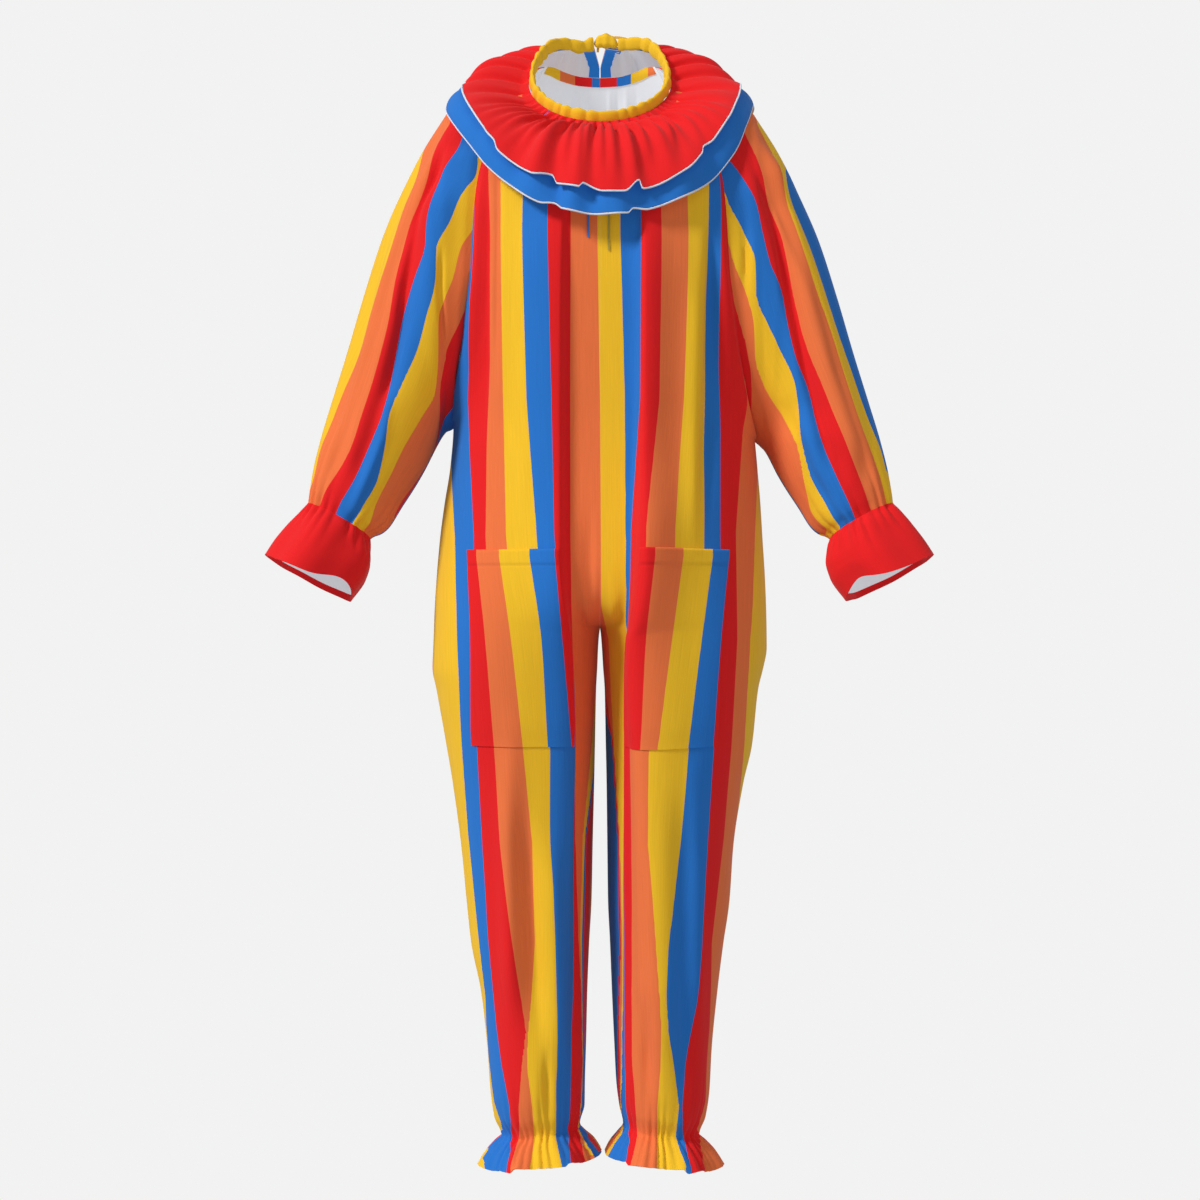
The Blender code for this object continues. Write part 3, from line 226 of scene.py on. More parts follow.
# Where a fold ends in the edge: angle, degrees before and after it, reach lost.
EDGE_STEPS = {
    "red": (
        (-17.5, 7, 2.2, 0.05), (-5.8, 1.4, 7, 0.032), (14, 5.5, 1, 0.062), (41.5, 1.6, 6, 0.03),
        (-42.5, 5, 3, 0.028), (-118, 5, 3, 0.03), (126, 3, 6, 0.03), (150, 5, 2.5, 0.025),
        (-150, 2.5, 6, 0.03),
    ),
    "blue": (
        (-16.5, 6, 3, 0.022), (12, 2, 6, 0.026), (-130, 4, 6, 0.02), (140, 6, 4, 0.02),
    ),
}
LONG_REACH, LONG_ANGLE = 0.90, 50  # a front gather is long from this reach, up to this angle
LONG_GATHER, SHORT_GATHER = (1.0, 1.35), (0.62, 0.85)  # how much it widens, and how deep it is
# Fullness on the shoulders: angle, reach, their widths, height.
COLLAR_PUFFS = (
    (-108, 0.4, 16, 0.3, 7.5), (-136, 0.36, 13, 0.26, 5), (112, 0.38, 12, 0.26, 6),
    (136, 0.4, 13, 0.28, 7), (-102, 0.75, 22, 0.34, -17), (101, 0.75, 19, 0.34, -14),
)
COLLAR_STOPS = 179.7  # the collar's ends, at the centre back
SLIT_OPEN, SLIT_FADE = 0.0080, 0.06  # the band pulls each end aside, and this width with it
SLIT_CLOSES = 0.39  # where the ends meet, as a share of the collar's width
EDGING_WIDTH, EDGING_THICK, EDGING_SIDES = 0.0026, 0.0022, 10
HEM_STRIP, HEM_GAP = 0.009, 0.0010  # the blue hem along each end of the collar
FACING_DEPTH = 0.012
TAPE_WIDTH, TAPE_THICK, TAPE_LAYER, TAPE_ROUND = 0.0024, 0.0010, 0.0007, 0.0012
TAPES = {"left": (-0.0148, -0.185, -0.232), "right": (0.0112, -0.185, -0.249)}  # x, top, bottom

# ---- the fine grids, their folds and the print ----------
DENSE = 700  # points on a curve before it is divided
UP_ROWS = 81
LOW_ROWS, ANKLE_FROM_Z = (50, 90, 34), -1.31  # rows to the crotch, to the ankle and to the hem
FINER = 9  # the fine grids' columns for each one of the solids
FRONT_PARTS, BACK_PARTS = (18, 9, 48, 34), (30, 30, 30)
SLEEVE_COLS, HEAD_ROWS, SLEEVE_ROWS = 216, 12, 90
HEAD_RUN = 0.6  # rings whose slope the sleeve's head runs into
CUFF_LAST, CUFF_ROWS, CUFF_HEM, CUFF_CREASED = 5, 30, 2, 3.4  # the last one in rings
COLLAR_COLS, COLLAR_STEPS = 561, 44
THIN_SEAM = 0.00004  # the fine cloth's pieces meet closer than the solids
PUFF, SLEEVE_PUFF = 0.0035, {"left": 0.0035, "right": 0.0}  # fullness beside a raglan seam
PUFF_FROM, PUFF_WIDE, PUFF_TOP = 0.010, 0.045, 0.09  # where a panel's puff ends; flat at the neck
CROTCH_LOW, CROTCH_HIGH, CROTCH_FADE, CROTCH_PASSES = 0.16, 0.12, 0.06, 30  # smoothed there
ANKLE_CREASES, ANKLE_PUCKER, ANKLE_FADE = 17, 0.0042, 0.040
WRIST_CREASES, WRIST_PUCKER, WRIST_FADE = 21, 0.0048, 1.7  # the last one in rings
CUFF_RISE, CUFF_RISE_AT, CUFF_RISE_WIDE = 0.015, 44, 30  # where a cuff's hem is folded up
BLOUSE, BLOUSE_RING, BLOUSE_WIDE = 0.0045, 9.4, 0.8  # what hangs over the wrist's elastic inside
SLEEVE_FADE = 1.2  # rings over which folds fade, and the cloth is calm again at the wrist
POCKET_HEM, HEM_RAISE, STITCH_DEEP, STITCH_WIDE = 0.0215, 0.0012, 0.0015, 0.0022
POCKET_ROWS, POCKET_BULGE, POCKET_SIDES, POCKET_LOWER, LOWER_FLAT = 150, 0.0006, 0.02, 0.03, 0.55
CREASE_ENDS = 0.12
# Folds on the panels: x at the top and bottom, top, bottom, inner and outer width, height.
CREASES = {
    ("front", "left"): (
        (143, 150, -120, -500, 11, 25, -10), (110, 110, -800, -1250, 14, 14, 5),
        (128, 132, -100, -440, 6, 5, -4.5), (86, 92, -160, -620, 24, 16, 5),
        (96, 74, -920, -1280, 10, 16, -8), (66, 52, -950, -1320, 14, 12, 7),
        (120, 108, -860, -1240, 12, 16, 6), (68, 66, -1240, -1370, 6, 6, -6),
        (15, 10, -550, -720, 8, 12, -4),
    ),
    ("front", "right"): (
        (139, 148, -140, -480, 12, 12, -7), (118, 118, -840, -1280, 14, 14, 5),
        (56, 60, -160, -1280, 12, 75, 10), (55, 82, -500, -1340, 16, 34, 12),
        (143, 128, -200, -600, 10, 12, -8), (120, 112, -240, -660, 14, 10, 5),
        (62, 58, -1160, -1360, 8, 8, -6), (100, 104, -900, -1340, 12, 18, -7),
    ),
    ("back", "left"): (
        (70, 70, -200, -950, 20, 20, 9), (142, 142, -260, -1100, 16, 16, -7),
        (16, 14, 16, -110, 3, 3, 3), (27, 24, 16, -90, 3.4, 3.4, -3.4), (39, 36, 16, -120, 4, 4, 3.2),
        (52, 50, 16, -80, 3.4, 3.4, -3), (105, 100, -220, -800, 16, 12, -6),
        (90, 70, -900, -1300, 12, 16, 7), (118, 112, -980, -1330, 10, 12, -6),
    ),
    ("back", "right"): (
        (64, 64, -160, -900, 19, 19, 9), (138, 138, -300, -1150, 16, 16, -7),
        (13, 12, 16, -100, 3, 3, -2.8), (24, 22, 16, -120, 3.4, 3.4, 3.4),
        (36, 35, 16, -90, 3.6, 3.6, -3.4), (49, 47, 16, -110, 4, 4, 3),
        (108, 102, -180, -760, 14, 16, -6), (95, 76, -860, -1320, 14, 12, 7),
        (60, 56, -1020, -1340, 10, 12, -6),
    ),
}
# How far the front of an ankle's hem is folded up, by distance from the middle.
HEM_RISE = {
    "left": table(
        "x rise", (-10, -2), (14.4, 0), (37, 4.5), (41, 4.5), (45, 1), (78.5, 6), (108.5, 7),
        (111.5, 1), (131.7, 6), (150, 3),
    ),
    "right": table(
        "x rise", (-10, -2), (14.4, 0), (31, 4.5), (35, 0.5), (78.5, 6), (106, 6.5), (110.5, 0.5),
        (131.7, 6), (152.8, 3),
    ),
}
# Folds seen from the front: outer and inner width, height, x and z along the line.
SLEEVE_LINES = {
    "left": (
        (30, 20, 10, (204, -158), (206, -225), (207, -292), (209, -393), (212, -494), (222, -540)),
        (6, 7, -7, (203, -110), (217, -155), (229, -191), (238, -243), (247, -293), (250, -336),
         (270, -430)),
        (4, 4, -5, (199, -245), (202, -293), (200, -360)),
        (14, 12, -4.5, (281, -180), (300, -300), (322, -420), (342, -520)),
        (8, 8, 5, (262, -420), (275, -480), (300, -545), (312, -575)),
    ),
    "right": (
        (24, 10, 3, (183, -150), (196, -220), (197, -270), (198, -380), (215, -450)),
        (45, 32, -9.5, (222, -150), (228, -270), (235, -380), (250, -470)),
        (4, 4, -5, (180, -190), (183, -230), (182, -300)),
        (7, 9, -6, (190, -120), (216, -180), (236, -260), (246, -330), (262, -420), (288, -520)),
        (10, 12, 5.5, (215, -100), (246, -190), (262, -270), (290, -390), (330, -510)),
        (8, 10, -5, (232, -440), (262, -520), (290, -570)),
    ),
}
LINE_ENDS = 0.05  # these fade over this length
# Folds round a sleeve: angles and rings where a fold starts and ends, width in degrees, height.
SLEEVE_CREASES = (
    (150, 140, 0.5, 8.5, 10, -5), (120, 112, 0.5, 9.5, 11, -5), (92, 84, 1.5, 9, 10, -6),
    (200, 210, 1, 9, 12, -6), (240, 236, 1, 9, 12, 6), (290, 280, 1, 9.5, 13, -6),
    (325, 320, 1, 9, 12, 5),
)
STRIPE = 0.037
FINE_RIBS, PRINT_RIBS, WORN_RIBS = (420, 5), (90, 9), (140, 14)  # across and down the cloth
WORN = (0.86, 1.12)  # how dark and how bright the print is along its threads
PRINT_COLOURS = ("red", "orange", "yellow", "blue")  # a stripe number's remainder picks one
STRIPE_NUMBERS = {"left": (5, -1), "right": (0, 1)}  # the first change's number, and the step
# Heights, and where the stripes of the front change there, outward from the middle.
STRIPES = {
    "left": (
        (-224, -75.4, -51, -25.4, 3.2, 36.6, 64.7, 96.4, 124.9, 139.6, 158.3, 178.3),
        (-433, -72.1, -49.7, -31.1, 0, 37.3, 59.6, 89.5, 121, 141.6, 168.2, 197.6),
        (-602, -56.2, -38.4, -32.2, -1.2, 36.9, 56.3, 77.4, 116.7, 142.8, 157.6, 183.1),
        (-700, -38, -20, -9, -0.8, 35.5, 48, 72.5, 108, 138.5, 156.2, 179.5),
        (-869, -0.6, 1.3, 3.2, 10.3, 32.8, 35.3, 65, 95.9, 132.1, 153.9, 173.9),
        (-985, 10.7, 18.2, 18.9, 21.4, 31.7, 34.2, 65.3, 84.9, 123.7, 148.9, 167.1),
        (-1116, 14.8, 21, 23.1, 25.6, 27.1, 33.1, 61, 81.4, 107.9, 141.8, 154.3),
        (-1192, 15.6, 20.9, 22.9, 23.1, 23.4, 34.4, 58.6, 87.8, 98.6, 135.5, 146.7),
        (-1232, 15.6, 20.6, 22.5, 22.8, 23.1, 36.7, 57.1, 92.4, 93, 131.6, 146.4),
        (-1275, 15.6, 18.8, 21.9, 22, 22.2, 36.8, 55.6, 92.9, 98.9, 125.7, 143.7),
        (-1328, 13, 16.9, 23.7, 23.9, 24, 37.5, 55.8, 86.1, 103.7, 115.5, 136.7),
        (-1368, 13, 22.1, 26.9, 27.1, 27.4, 39.3, 56.8, 84.4, 102.6, 113.5, 125.3),
        (-1404, -15.4, -5.9, 3.2, 3.6, 13.3, 38.2, 49, 89.4, 111.8, 115.7, 147.9),
    ),
    "right": (
        (-224, -64.7, -36.6, -3.2, 25.4, 51, 75.4, 109.5, 136.4, 150.5, 174.2, 190.7),
        (-433, -59.6, -37.3, 0, 31.1, 49.7, 72.1, 102, 133.7, 150.5, 184.1, 208),
        (-596, -56.3, -36.9, 1.2, 32.2, 38.4, 56.2, 90.2, 128, 149.1, 169.8, 197.1),
        (-690, -32, -20, 1.4, 33, 36.5, 56.1, 89.6, 127, 149.7, 170.4, 192),
        (-732, -12.7, -2.6, 10.2, 33.9, 34.5, 56, 89.1, 126.3, 150.2, 170.9, 188.4),
        (-868, 16.6, 16.8, 17.1, 32.8, 33.4, 50.2, 71.1, 109.5, 141.1, 164.5, 182.6),
        (-985, 23.2, 23.9, 24.2, 32.9, 33.2, 47.5, 69, 100.2, 133.3, 155.9, 175.5),
        (-1116, 26.1, 26.3, 28.7, 31.5, 33.6, 44.4, 75.4, 85.7, 125.1, 139.7, 161.2),
        (-1190, 24.2, 24.5, 28.8, 29.9, 32.9, 42.5, 78.3, 83.4, 118.8, 139.6, 152.1),
        (-1231, 23.4, 23.6, 28.1, 28.3, 32.1, 41.6, 78.7, 86, 113.9, 139.6, 149.5),
        (-1274, 23.4, 25.6, 27.6, 27.7, 31.6, 41.2, 77.3, 93.2, 108.4, 137.4, 146.9),
        (-1328, 23.4, 26.1, 26.2, 26.3, 33.1, 44.7, 72.7, 101.2, 104.6, 136, 143),
        (-1368, 22.1, 24.7, 27.3, 29.3, 36.8, 47.4, 73.1, 96.8, 105.8, 125.9, 132.6),
        (-1405, -5.2, -1.9, 3.2, 5.5, 32.4, 37.8, 72, 108.5, 114.6, 136.6, 158.6),
    ),
}
BACK_FIRST = {"left": 2.6, "right": 2.1}
STRAIGHT_TO, LEG_LEAN = -0.50, 0.5  # stripes behind are straight down to here, then follow the leg
FACING_STRIPES = {
    "left": table("x number", (0, 3.4), (10.6, 4), (33.3, 5), (53.2, 6), (74, 7), (100, 8.4)),
    "right": table("x number", (0, 0.95), (22.6, 0), (41.3, -1), (63.9, -2), (80, -3), (100, -3.9)),
}
POCKET_STRIPES = {
    "left": table(
        "z red orange yellow blue", (-628, 154.1, 125.3, 87.1, 55.7), (-732, 142.4, 110.2, 72.4, 46.6),
        (-866, 132.1, 95.8, 64.9, 35.3),
    ),
    "right": table(
        "z red orange yellow blue", (-628, 67.5, 102.8, 140.3, 161.1), (-732, 56.5, 88.4, 125.8, 150.2),
        (-866, 50.2, 71.1, 109.5, 141.1),
    ),
}
OUTER_NUMBER = -0.35  # the stripe number along a sleeve's outer line
SLEEVE_FIRST = {"left": 0, "right": -1}  # the number of each sleeve's first column
# By height, where a sleeve's stripes change, inward from the outer side.
SLEEVE_STRIPES = {
    "left": table(
        "z a b c d e f g h", (-73.7, 218, 192, 168.8, 148.7, 126, 100.8, 75.6, 50.4),
        (-107.4, 228.2, 210.8, 178.9, 153.7, 128.5, 103.3, 75.6, 50.4),
        (-141.2, 238.7, 220, 198.3, 155.2, 136.1, 115.9, 95.8, 75.6),
        (-174.8, 248.1, 229.4, 208.4, 175.5, 153.7, 133.6, 113.4, 90.7),
        (-208.6, 257.2, 242.1, 216.8, 189, 157.5, 138.6, 118.4, 98.3),
        (-242.4, 267.1, 250.6, 219.4, 205.9, 175.5, 148.7, 126, 100.8),
        (-276.2, 278.2, 258, 232.8, 207.5, 184, 153.7, 128.5, 103.3),
        (-332.1, 297.7, 266, 249.5, 220.2, 206, 177.2, 151.2, 126),
        (-372.3, 314.1, 275.5, 256.4, 232.3, 208.4, 198.2, 163.8, 138.6),
        (-412.5, 329.5, 286.6, 262.5, 249.5, 212.3, 208.3, 178.9, 151.2),
        (-452.7, 342.7, 299.7, 273.5, 265.5, 230.3, 210.8, 203.2, 176.4),
        (-492.7, 355.4, 312.9, 290.1, 270.5, 249.5, 217.2, 213.3, 195.3),
        (-532.9, 364.2, 337.1, 308.7, 279.7, 267.5, 237.4, 220.5, 201.6),
        (-563.2, 373.1, 353.4, 326.7, 297.6, 283.5, 257, 236.9, 214.2),
        (-600.6, 382.1, 365.4, 342.7, 320, 298.6, 277.2, 254.5, 231.8),
    ),
    "right": table(
        "z a b c d e f g", (-69.7, 215.6, 202.9, 177.2, 146.3, 130.9, 115.5, 100),
        (-104.4, 233.2, 220.7, 191.4, 150.2, 136.7, 123.2, 111.6),
        (-143, 241.1, 229.7, 208, 176, 150.2, 138.6, 127),
        (-181.5, 256, 241.3, 218.4, 197.2, 161, 146.3, 136.7),
        (-220.1, 268.6, 253.7, 233.4, 204.9, 181.4, 157.9, 144.4),
        (-258.6, 279.2, 266.2, 240.8, 213.8, 195.7, 167.5, 154),
        (-297.2, 291.7, 278.2, 245.4, 230.4, 196, 184.1, 165.6),
        (-335.7, 304.3, 291.4, 252.7, 235, 209.9, 193.7, 177.2),
        (-374.3, 317.2, 302.7, 264.3, 242.7, 227.3, 194.9, 188),
        (-412.9, 329.4, 314.3, 279.7, 257.4, 242.3, 208, 192.6),
        (-451.4, 341.5, 326.3, 294.4, 266.6, 246.9, 227.3, 193.3),
        (-490, 354.1, 339.9, 309.8, 278.9, 252, 246.6, 206.1),
        (-528.5, 367.4, 353.9, 325.2, 296.7, 262.7, 256.2, 226.5),
        (-567.1, 376.5, 363.2, 339.5, 315.2, 287.4, 267.4, 254.3),
        (-590.2, 380.4, 368.7, 348.7, 323.7, 302.5, 287, 271.6),
    ),
}
COLOURS = {
    "red": (0.745, 0.011, 0.013),
    "orange": (0.80, 0.170, 0.050),
    "yellow": (0.85, 0.500, 0.020),
    "blue": (0.018, 0.165, 0.560),
    "white": (0.68, 0.70, 0.78),
    "olive": (0.36, 0.30, 0.06),
    "lining": (0.56, 0.57, 0.60),
}
GROUND, FLOOR_LIGHT = (0.888, 0.888, 0.888), (0.45, 0.45, 0.45)
FLOOR_Z, FLOOR_HALF = -1.47, 3.0
GLOW_AROUND = 0.36
SUNS = {  # where the light comes from, its strength, and its width in degrees
    "Key": ((-0.680, -0.459, 0.574), 2.55, 14),
    "Fill": ((0.5, 1.4, 0.7), 0.50, 40),
    "Soft": ((0.3, -1.0, 0.2), 0.50, 60),
}


# ---- curves and small helpers ----------
def read(columns, name, where):
    """One column of a table at a height, angle or ring, on a smooth curve through its rows."""
    first = next(iter(columns))
    xs, ys = columns[first], columns[name]
    step, rise = np.diff(xs), np.diff(ys)
    slope = rise / step
    both = slope[:-1] * slope[1:]
    bend = np.where(both > 0, 2 * both / np.where(both > 0, slope[:-1] + slope[1:], 1), 0)
    slopes = np.concatenate([slope[:1], bend, slope[-1:]])
    where = np.clip(np.asarray(where, float), xs[0], xs[-1])
    i = np.clip(np.searchsorted(xs, where) - 1, 0, len(step) - 1)
    t = (where - xs[i]) / step[i]
    return (
        ys[i]
        + rise[i] * (3 * t**2 - 2 * t**3)
        + step[i] * (slopes[i] * (t - 2 * t**2 + t**3) + slopes[i + 1] * (t**3 - t**2))
    )


def ease(x):
    """0 below 0, 1 above 1, and smooth between."""
    x = np.clip(x, 0, 1)
    return x * x * (3 - 2 * x)


def bell(away, width):
    return np.exp(-((away / width) ** 2))


def unit(vectors):
    return vectors / np.maximum(np.linalg.norm(vectors, axis=-1, keepdims=True), 1e-12)


def around(sides):
    return np.arange(sides) * 2 * math.pi / sides


def along(curve):
    """Distance along a curve at each of its points."""
    return np.concatenate([[0], np.cumsum(np.linalg.norm(np.diff(curve, axis=0), axis=1))])


def points_at(curve, distances):
    where = along(curve)
    return np.stack([np.interp(distances, where, curve[:, k]) for k in range(3)], axis=1)


def between(rows, place):
    """Rows of a grid at places that may lie between two of them."""
    at = place.astype(int)
    part = (place - at)[:, None, None]
    return rows[at] * (1 - part) + rows[np.minimum(at + 1, len(rows) - 1)] * part


def puckers(share, count, seed):
    """Rounded bumps with sharp creases between them, uneven in width and height: 0 to 1."""
    turn = share * count * math.pi
    turn = turn + 0.7 * np.sin(turn * 0.31 + seed) + 0.4 * np.sin(turn * 0.77 + 2 * seed)
    uneven = 0.7 + 0.3 * np.sin(turn * 0.43 + 3 * seed)
    return np.abs(np.sin(turn)) ** 1.2 * uneven


# ---- grids and pieces ----------
def outward(points, loop, middles):
    """Unit normals of a grid of points (rows, columns, 3), away from its middles."""
    if loop:
        across = np.roll(points, -1, axis=1) - np.roll(points, 1, axis=1)
    else:
        across = np.gradient(points, axis=1)
    normals = unit(np.cross(across, np.gradient(points, axis=0)))
    return -normals if np.sum(normals * (points - middles)) < 0 else normals


def centres(rows):
    """The middle of each row, for each of its points."""
    return np.repeat(rows.mean(axis=1, keepdims=True), rows.shape[1], axis=1)


def plain_uv(across, down, shape):
    return np.stack([np.broadcast_to(across, shape), np.broadcast_to(down, shape)], axis=-1)


def cloth(node, slot, outer, inward, thickness, finishes, uv, loop=False, hem=0, wrap=None):
    """A thin shell on a grid of outer points: outer face, inner face and rim.

    The inner face has the second finish, except in the last rows, where a hem is turned in.
    """
    rows, cols = outer.shape[:2]
    count = rows * cols
    points = np.concatenate([outer.reshape(-1, 3), (outer + inward * thickness).reshape(-1, 3)])
    r = np.arange(rows - 1)[:, None]
    c = np.arange(cols if loop else cols - 1)[None, :]
    a, b = r * cols + c, r * cols + (c + 1) % cols
    quads = np.stack([a, a + cols, b + cols, b], axis=-1).reshape(-1, 4)
    middle = quads[len(quads) // 2]
    corner = points[middle]
    normal = np.cross(corner[2] - corner[0], corner[3] - corner[1])
    flip = np.dot(normal, inward.reshape(-1, 3)[middle[0]]) > 0
    if flip:
        quads = quads[:, ::-1]
    under = quads[:, ::-1] + count
    top, left = np.arange(cols), np.arange(rows) * cols
    lines = [(top, False), (top + (rows - 1) * cols, True)]
    if loop:
        lines = [(np.append(line, line[0]), turn) for line, turn in lines]
    else:
        lines += [(left, True), (left + cols - 1, False)]
    rims = []
    for line, turn in lines:
        p, q = line[:-1], line[1:]
        rim = np.stack([p, q, q + count, p + count], axis=-1)
        rims.append(rim[:, ::-1] if turn != flip else rim)
    rim = np.concatenate(rims)
    mesh = bpy.data.meshes.new(node + "_cloth")
    mesh.from_pydata(points.tolist(), [], np.concatenate([quads, under, rim]).tolist())
    inner = np.repeat(np.arange(rows - 1) < rows - 1 - hem, len(under) // (rows - 1))
    which = np.concatenate([np.zeros(len(quads)), inner, np.zeros(len(rim))])
    mesh.polygons.foreach_set("material_index", which.astype(np.int32))
    for each in finishes:
        mesh.materials.append(each)
    layer = mesh.uv_layers.new(name="Cloth")
    index = np.zeros(len(mesh.loops), np.int32)
    mesh.loops.foreach_get("vertex_index", index)
    corners = uv.reshape(-1, 2)[index % count]
    if wrap is not None:  # the last column's faces end in coordinates of their own
        last = np.arange(rows - 1) * cols + cols - 1
        last = (4 * np.concatenate([last, last + len(quads)])[:, None] + np.arange(4)).ravel()
        last = last[index[last] % cols == 0]
        corners[last] = wrap[index[last] % count // cols]
    layer.data.foreach_set("uv", corners.ravel())
    mesh.shade_smooth()
    mesh.set_sharp_from_angle(angle=math.radians(60))
    made = bpy.data.objects.new(node + "_cloth", mesh)
    bpy.context.scene.collection.objects.link(made)
    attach(made, "root")
    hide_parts(node)
    return made


# ---- stripe numbers ----------
def spread(x, edges, numbers):
    """Linear between the edges of stripes, and one stripe width a unit beyond them."""
    if edges[0] < x < edges[-1]:
        return np.interp(x, edges, numbers)
    end = 0 if x <= edges[0] else -1
    return numbers[end] + (x - edges[end]) / STRIPE * (numbers[1] - numbers[0])


def numbered(points, edges_at, numbers, sign=1):
    """The stripe number at each point, by its distance from the middle and its height.

    The sign is -1 where the edges run inward from the outer side.
    """
    made = np.zeros(points.shape[:2])
    for i, row in enumerate(points):
        edges = sign * edges_at(row[:, 2])
        x = sign * np.abs(row[:, 0])
        made[i] = [spread(x[j], edges[j], numbers) for j in range(len(x))]
    return made


def smooth_edges(lines):
    """The edges of the stripes at any heights, and how many there are."""
    names = [name for name in lines if name != "z"]
    return lambda z: np.stack([read(lines, name, z) for name in names], axis=1), len(names)


def print_uv(numbers, points):
    """Stripe numbers across, four to a unit, and metres down."""
    return np.stack([numbers / 4 + 8, points[..., 2]], axis=-1)


# ---- the neckline and body panels ----------
def neckline(side, angle):
    angle = np.asarray(angle, float)
    turn = np.radians(angle)
    depth = np.where(angle < 90, NECK_FRONT, NECK_BACK)
    return np.stack(
        [SIDES[side] * NECK_X * np.sin(turn), -depth * np.cos(turn), read(NECKLINE, "z", angle)], -1
    )


def depth_at(side, face, x, z):
    """How far a body section stands from the middle plane at a distance x from the centre."""
    half = read(BODY, "half_" + side, z)
    inner = read(BODY, "inner_" + side, z)
    lobe = read(BODY, "lobe", z)
    depth = read(BODY, face, z)
    in_arc = np.clip((lobe - x) / (lobe - inner), 0, 1)
    out_arc = np.clip((x - lobe) / (half - lobe), 0, 1)
    inside, outside = np.sqrt(1 - in_arc**2), (1 - out_arc**ROUNDNESS) ** (1 / ROUNDNESS)
    return np.where(x < lobe, depth * inside, depth * outside)


def raglan_x(side, face, z):
    seam = RAGLAN[face]
    bottom = UNDERARM_Z[side]
    low = read(BODY, "half_" + side, bottom)
    return read({"z": np.append(bottom, seam["z"]), "x": np.append(low, seam["x"])}, "x", z)


def upper_row(side, face, up):
    """A row from the centre to the raglan seam: up is 0 at the underarm and 1 at the neck."""
    bottom = UNDERARM_Z[side]
    seam_top = neckline("right", RAGLAN_ANGLE[face])
    across = np.sin(np.linspace(0, 1, DENSE) * math.pi / 2)
    turn = np.degrees(np.arcsin(across * seam_top[0] / NECK_X))
    top = neckline("right", turn if face == "front" else 180 - turn)
    x = across * raglan_x(side, face, bottom + (seam_top[2] - bottom) * up)
    z = bottom + (top[:, 2] - bottom) * up
    depth = depth_at(side, face, x, z)
    at_neck = depth_at(side, face, top[:, 0], top[:, 2])
    depth = depth + (np.abs(top[:, 1]) - at_neck) * up**4
    return np.stack([SIDES[side] * x, FACES[face] * depth, z], axis=1)


def lower_row(side, face, z):
    """A row from the centre or the inseam to the side seam."""
    half = float(read(BODY, "half_" + side, z))
    start = float(read(BODY, "inner_" + side, z)) if z <= CROTCH_Z else 0.0
    swing = (1 - np.cos(np.linspace(0, math.pi, DENSE))) / 2
    x = start + (half - start) * swing
    depth = depth_at(side, face, x, z)
    tilt = ANKLE_TILT * ease((TILT_STARTS_Z - z) / (TILT_STARTS_Z - ELASTIC_Z))
    return np.stack([SIDES[side] * x, FACES[face] * depth, z - tilt * (x - LEG_MIDDLE)], axis=1)


def column_places(side, face, curve, z):
    """Where a row's points lie: closer together at the fold and beside the pocket."""
    where = along(curve)
    x = np.abs(curve[:, 0])
    start, reach = float(x[0]), float(x[-1])
    wide = reach - start
    if face == "back":
        stops = [start + share * wide for share in (0.40, 0.74)]
    else:
        fold = FOLD[side]
        foot = np.clip(read(fold, "foot", z), start + 0.12 * wide, start + 0.5 * wide)
        crest = np.clip(read(fold, "crest", z), foot + 0.05 * wide, start + 0.6 * wide)
        stops = [foot, crest, np.clip(read(POCKET[side], "outer", z), 0, start + 0.80 * wide)]
    marks = [0.0] + [float(np.interp(s, x, where)) for s in stops] + [float(where[-1])]
    places = [0.0]
    parts = FRONT_PARTS if face == "front" else BACK_PARTS
    for low, high, count in zip(marks[:-1], marks[1:], parts):
        places += list(low + (high - low) * (np.arange(count) + 1) / count)
    return np.array(places)


def fold_heights(side, face, curve, places, z):
    """How far the folds lift each point of a row."""
    where = along(curve)
    x = np.abs(curve[:, 0])
    end = where[-1]
    lift = np.zeros(len(places))
    if face == "front":
        fold = FOLD[side]
        foot, crest = (np.interp(float(read(fold, n, z)), x, where) for n in ("foot", "crest"))
        rise = ease((places - foot) / (crest - foot))
        slope = float(read(FOLD_REACH[side], "reach", z))
        lift += float(read(fold, "height", z)) * rise * bell(np.maximum(places - crest, 0), slope)
    for crease in CREASES[face, side]:
        top_x, bottom_x, top, bottom, inner, outer, height = np.array(crease) / MM
        at_x = top_x + (bottom_x - top_x) * np.clip((top - z) / (top - bottom), 0, 1)
        if at_x > x[-1]:
            continue
        middle = np.interp(at_x, x, where)
        ends = min(CREASE_ENDS, 0.5 * (top - bottom))
        strength = ease((top - z) / ends) * ease((z - bottom) / ends)
        lift += height * strength * bell(places - middle, np.where(places > middle, outer, inner))
    lift *= ease(places / CENTRE_CALM) * ease((end - places) / SIDE_CALM)
    if z > UNDERARM_Z[side]:
        away = end - places
        fade = 1 - ease((away - PUFF_FROM) / PUFF_WIDE)
        lift += PUFF * ease(away / PUFF_FROM) * fade * ease(-z / PUFF_TOP)
    return lift


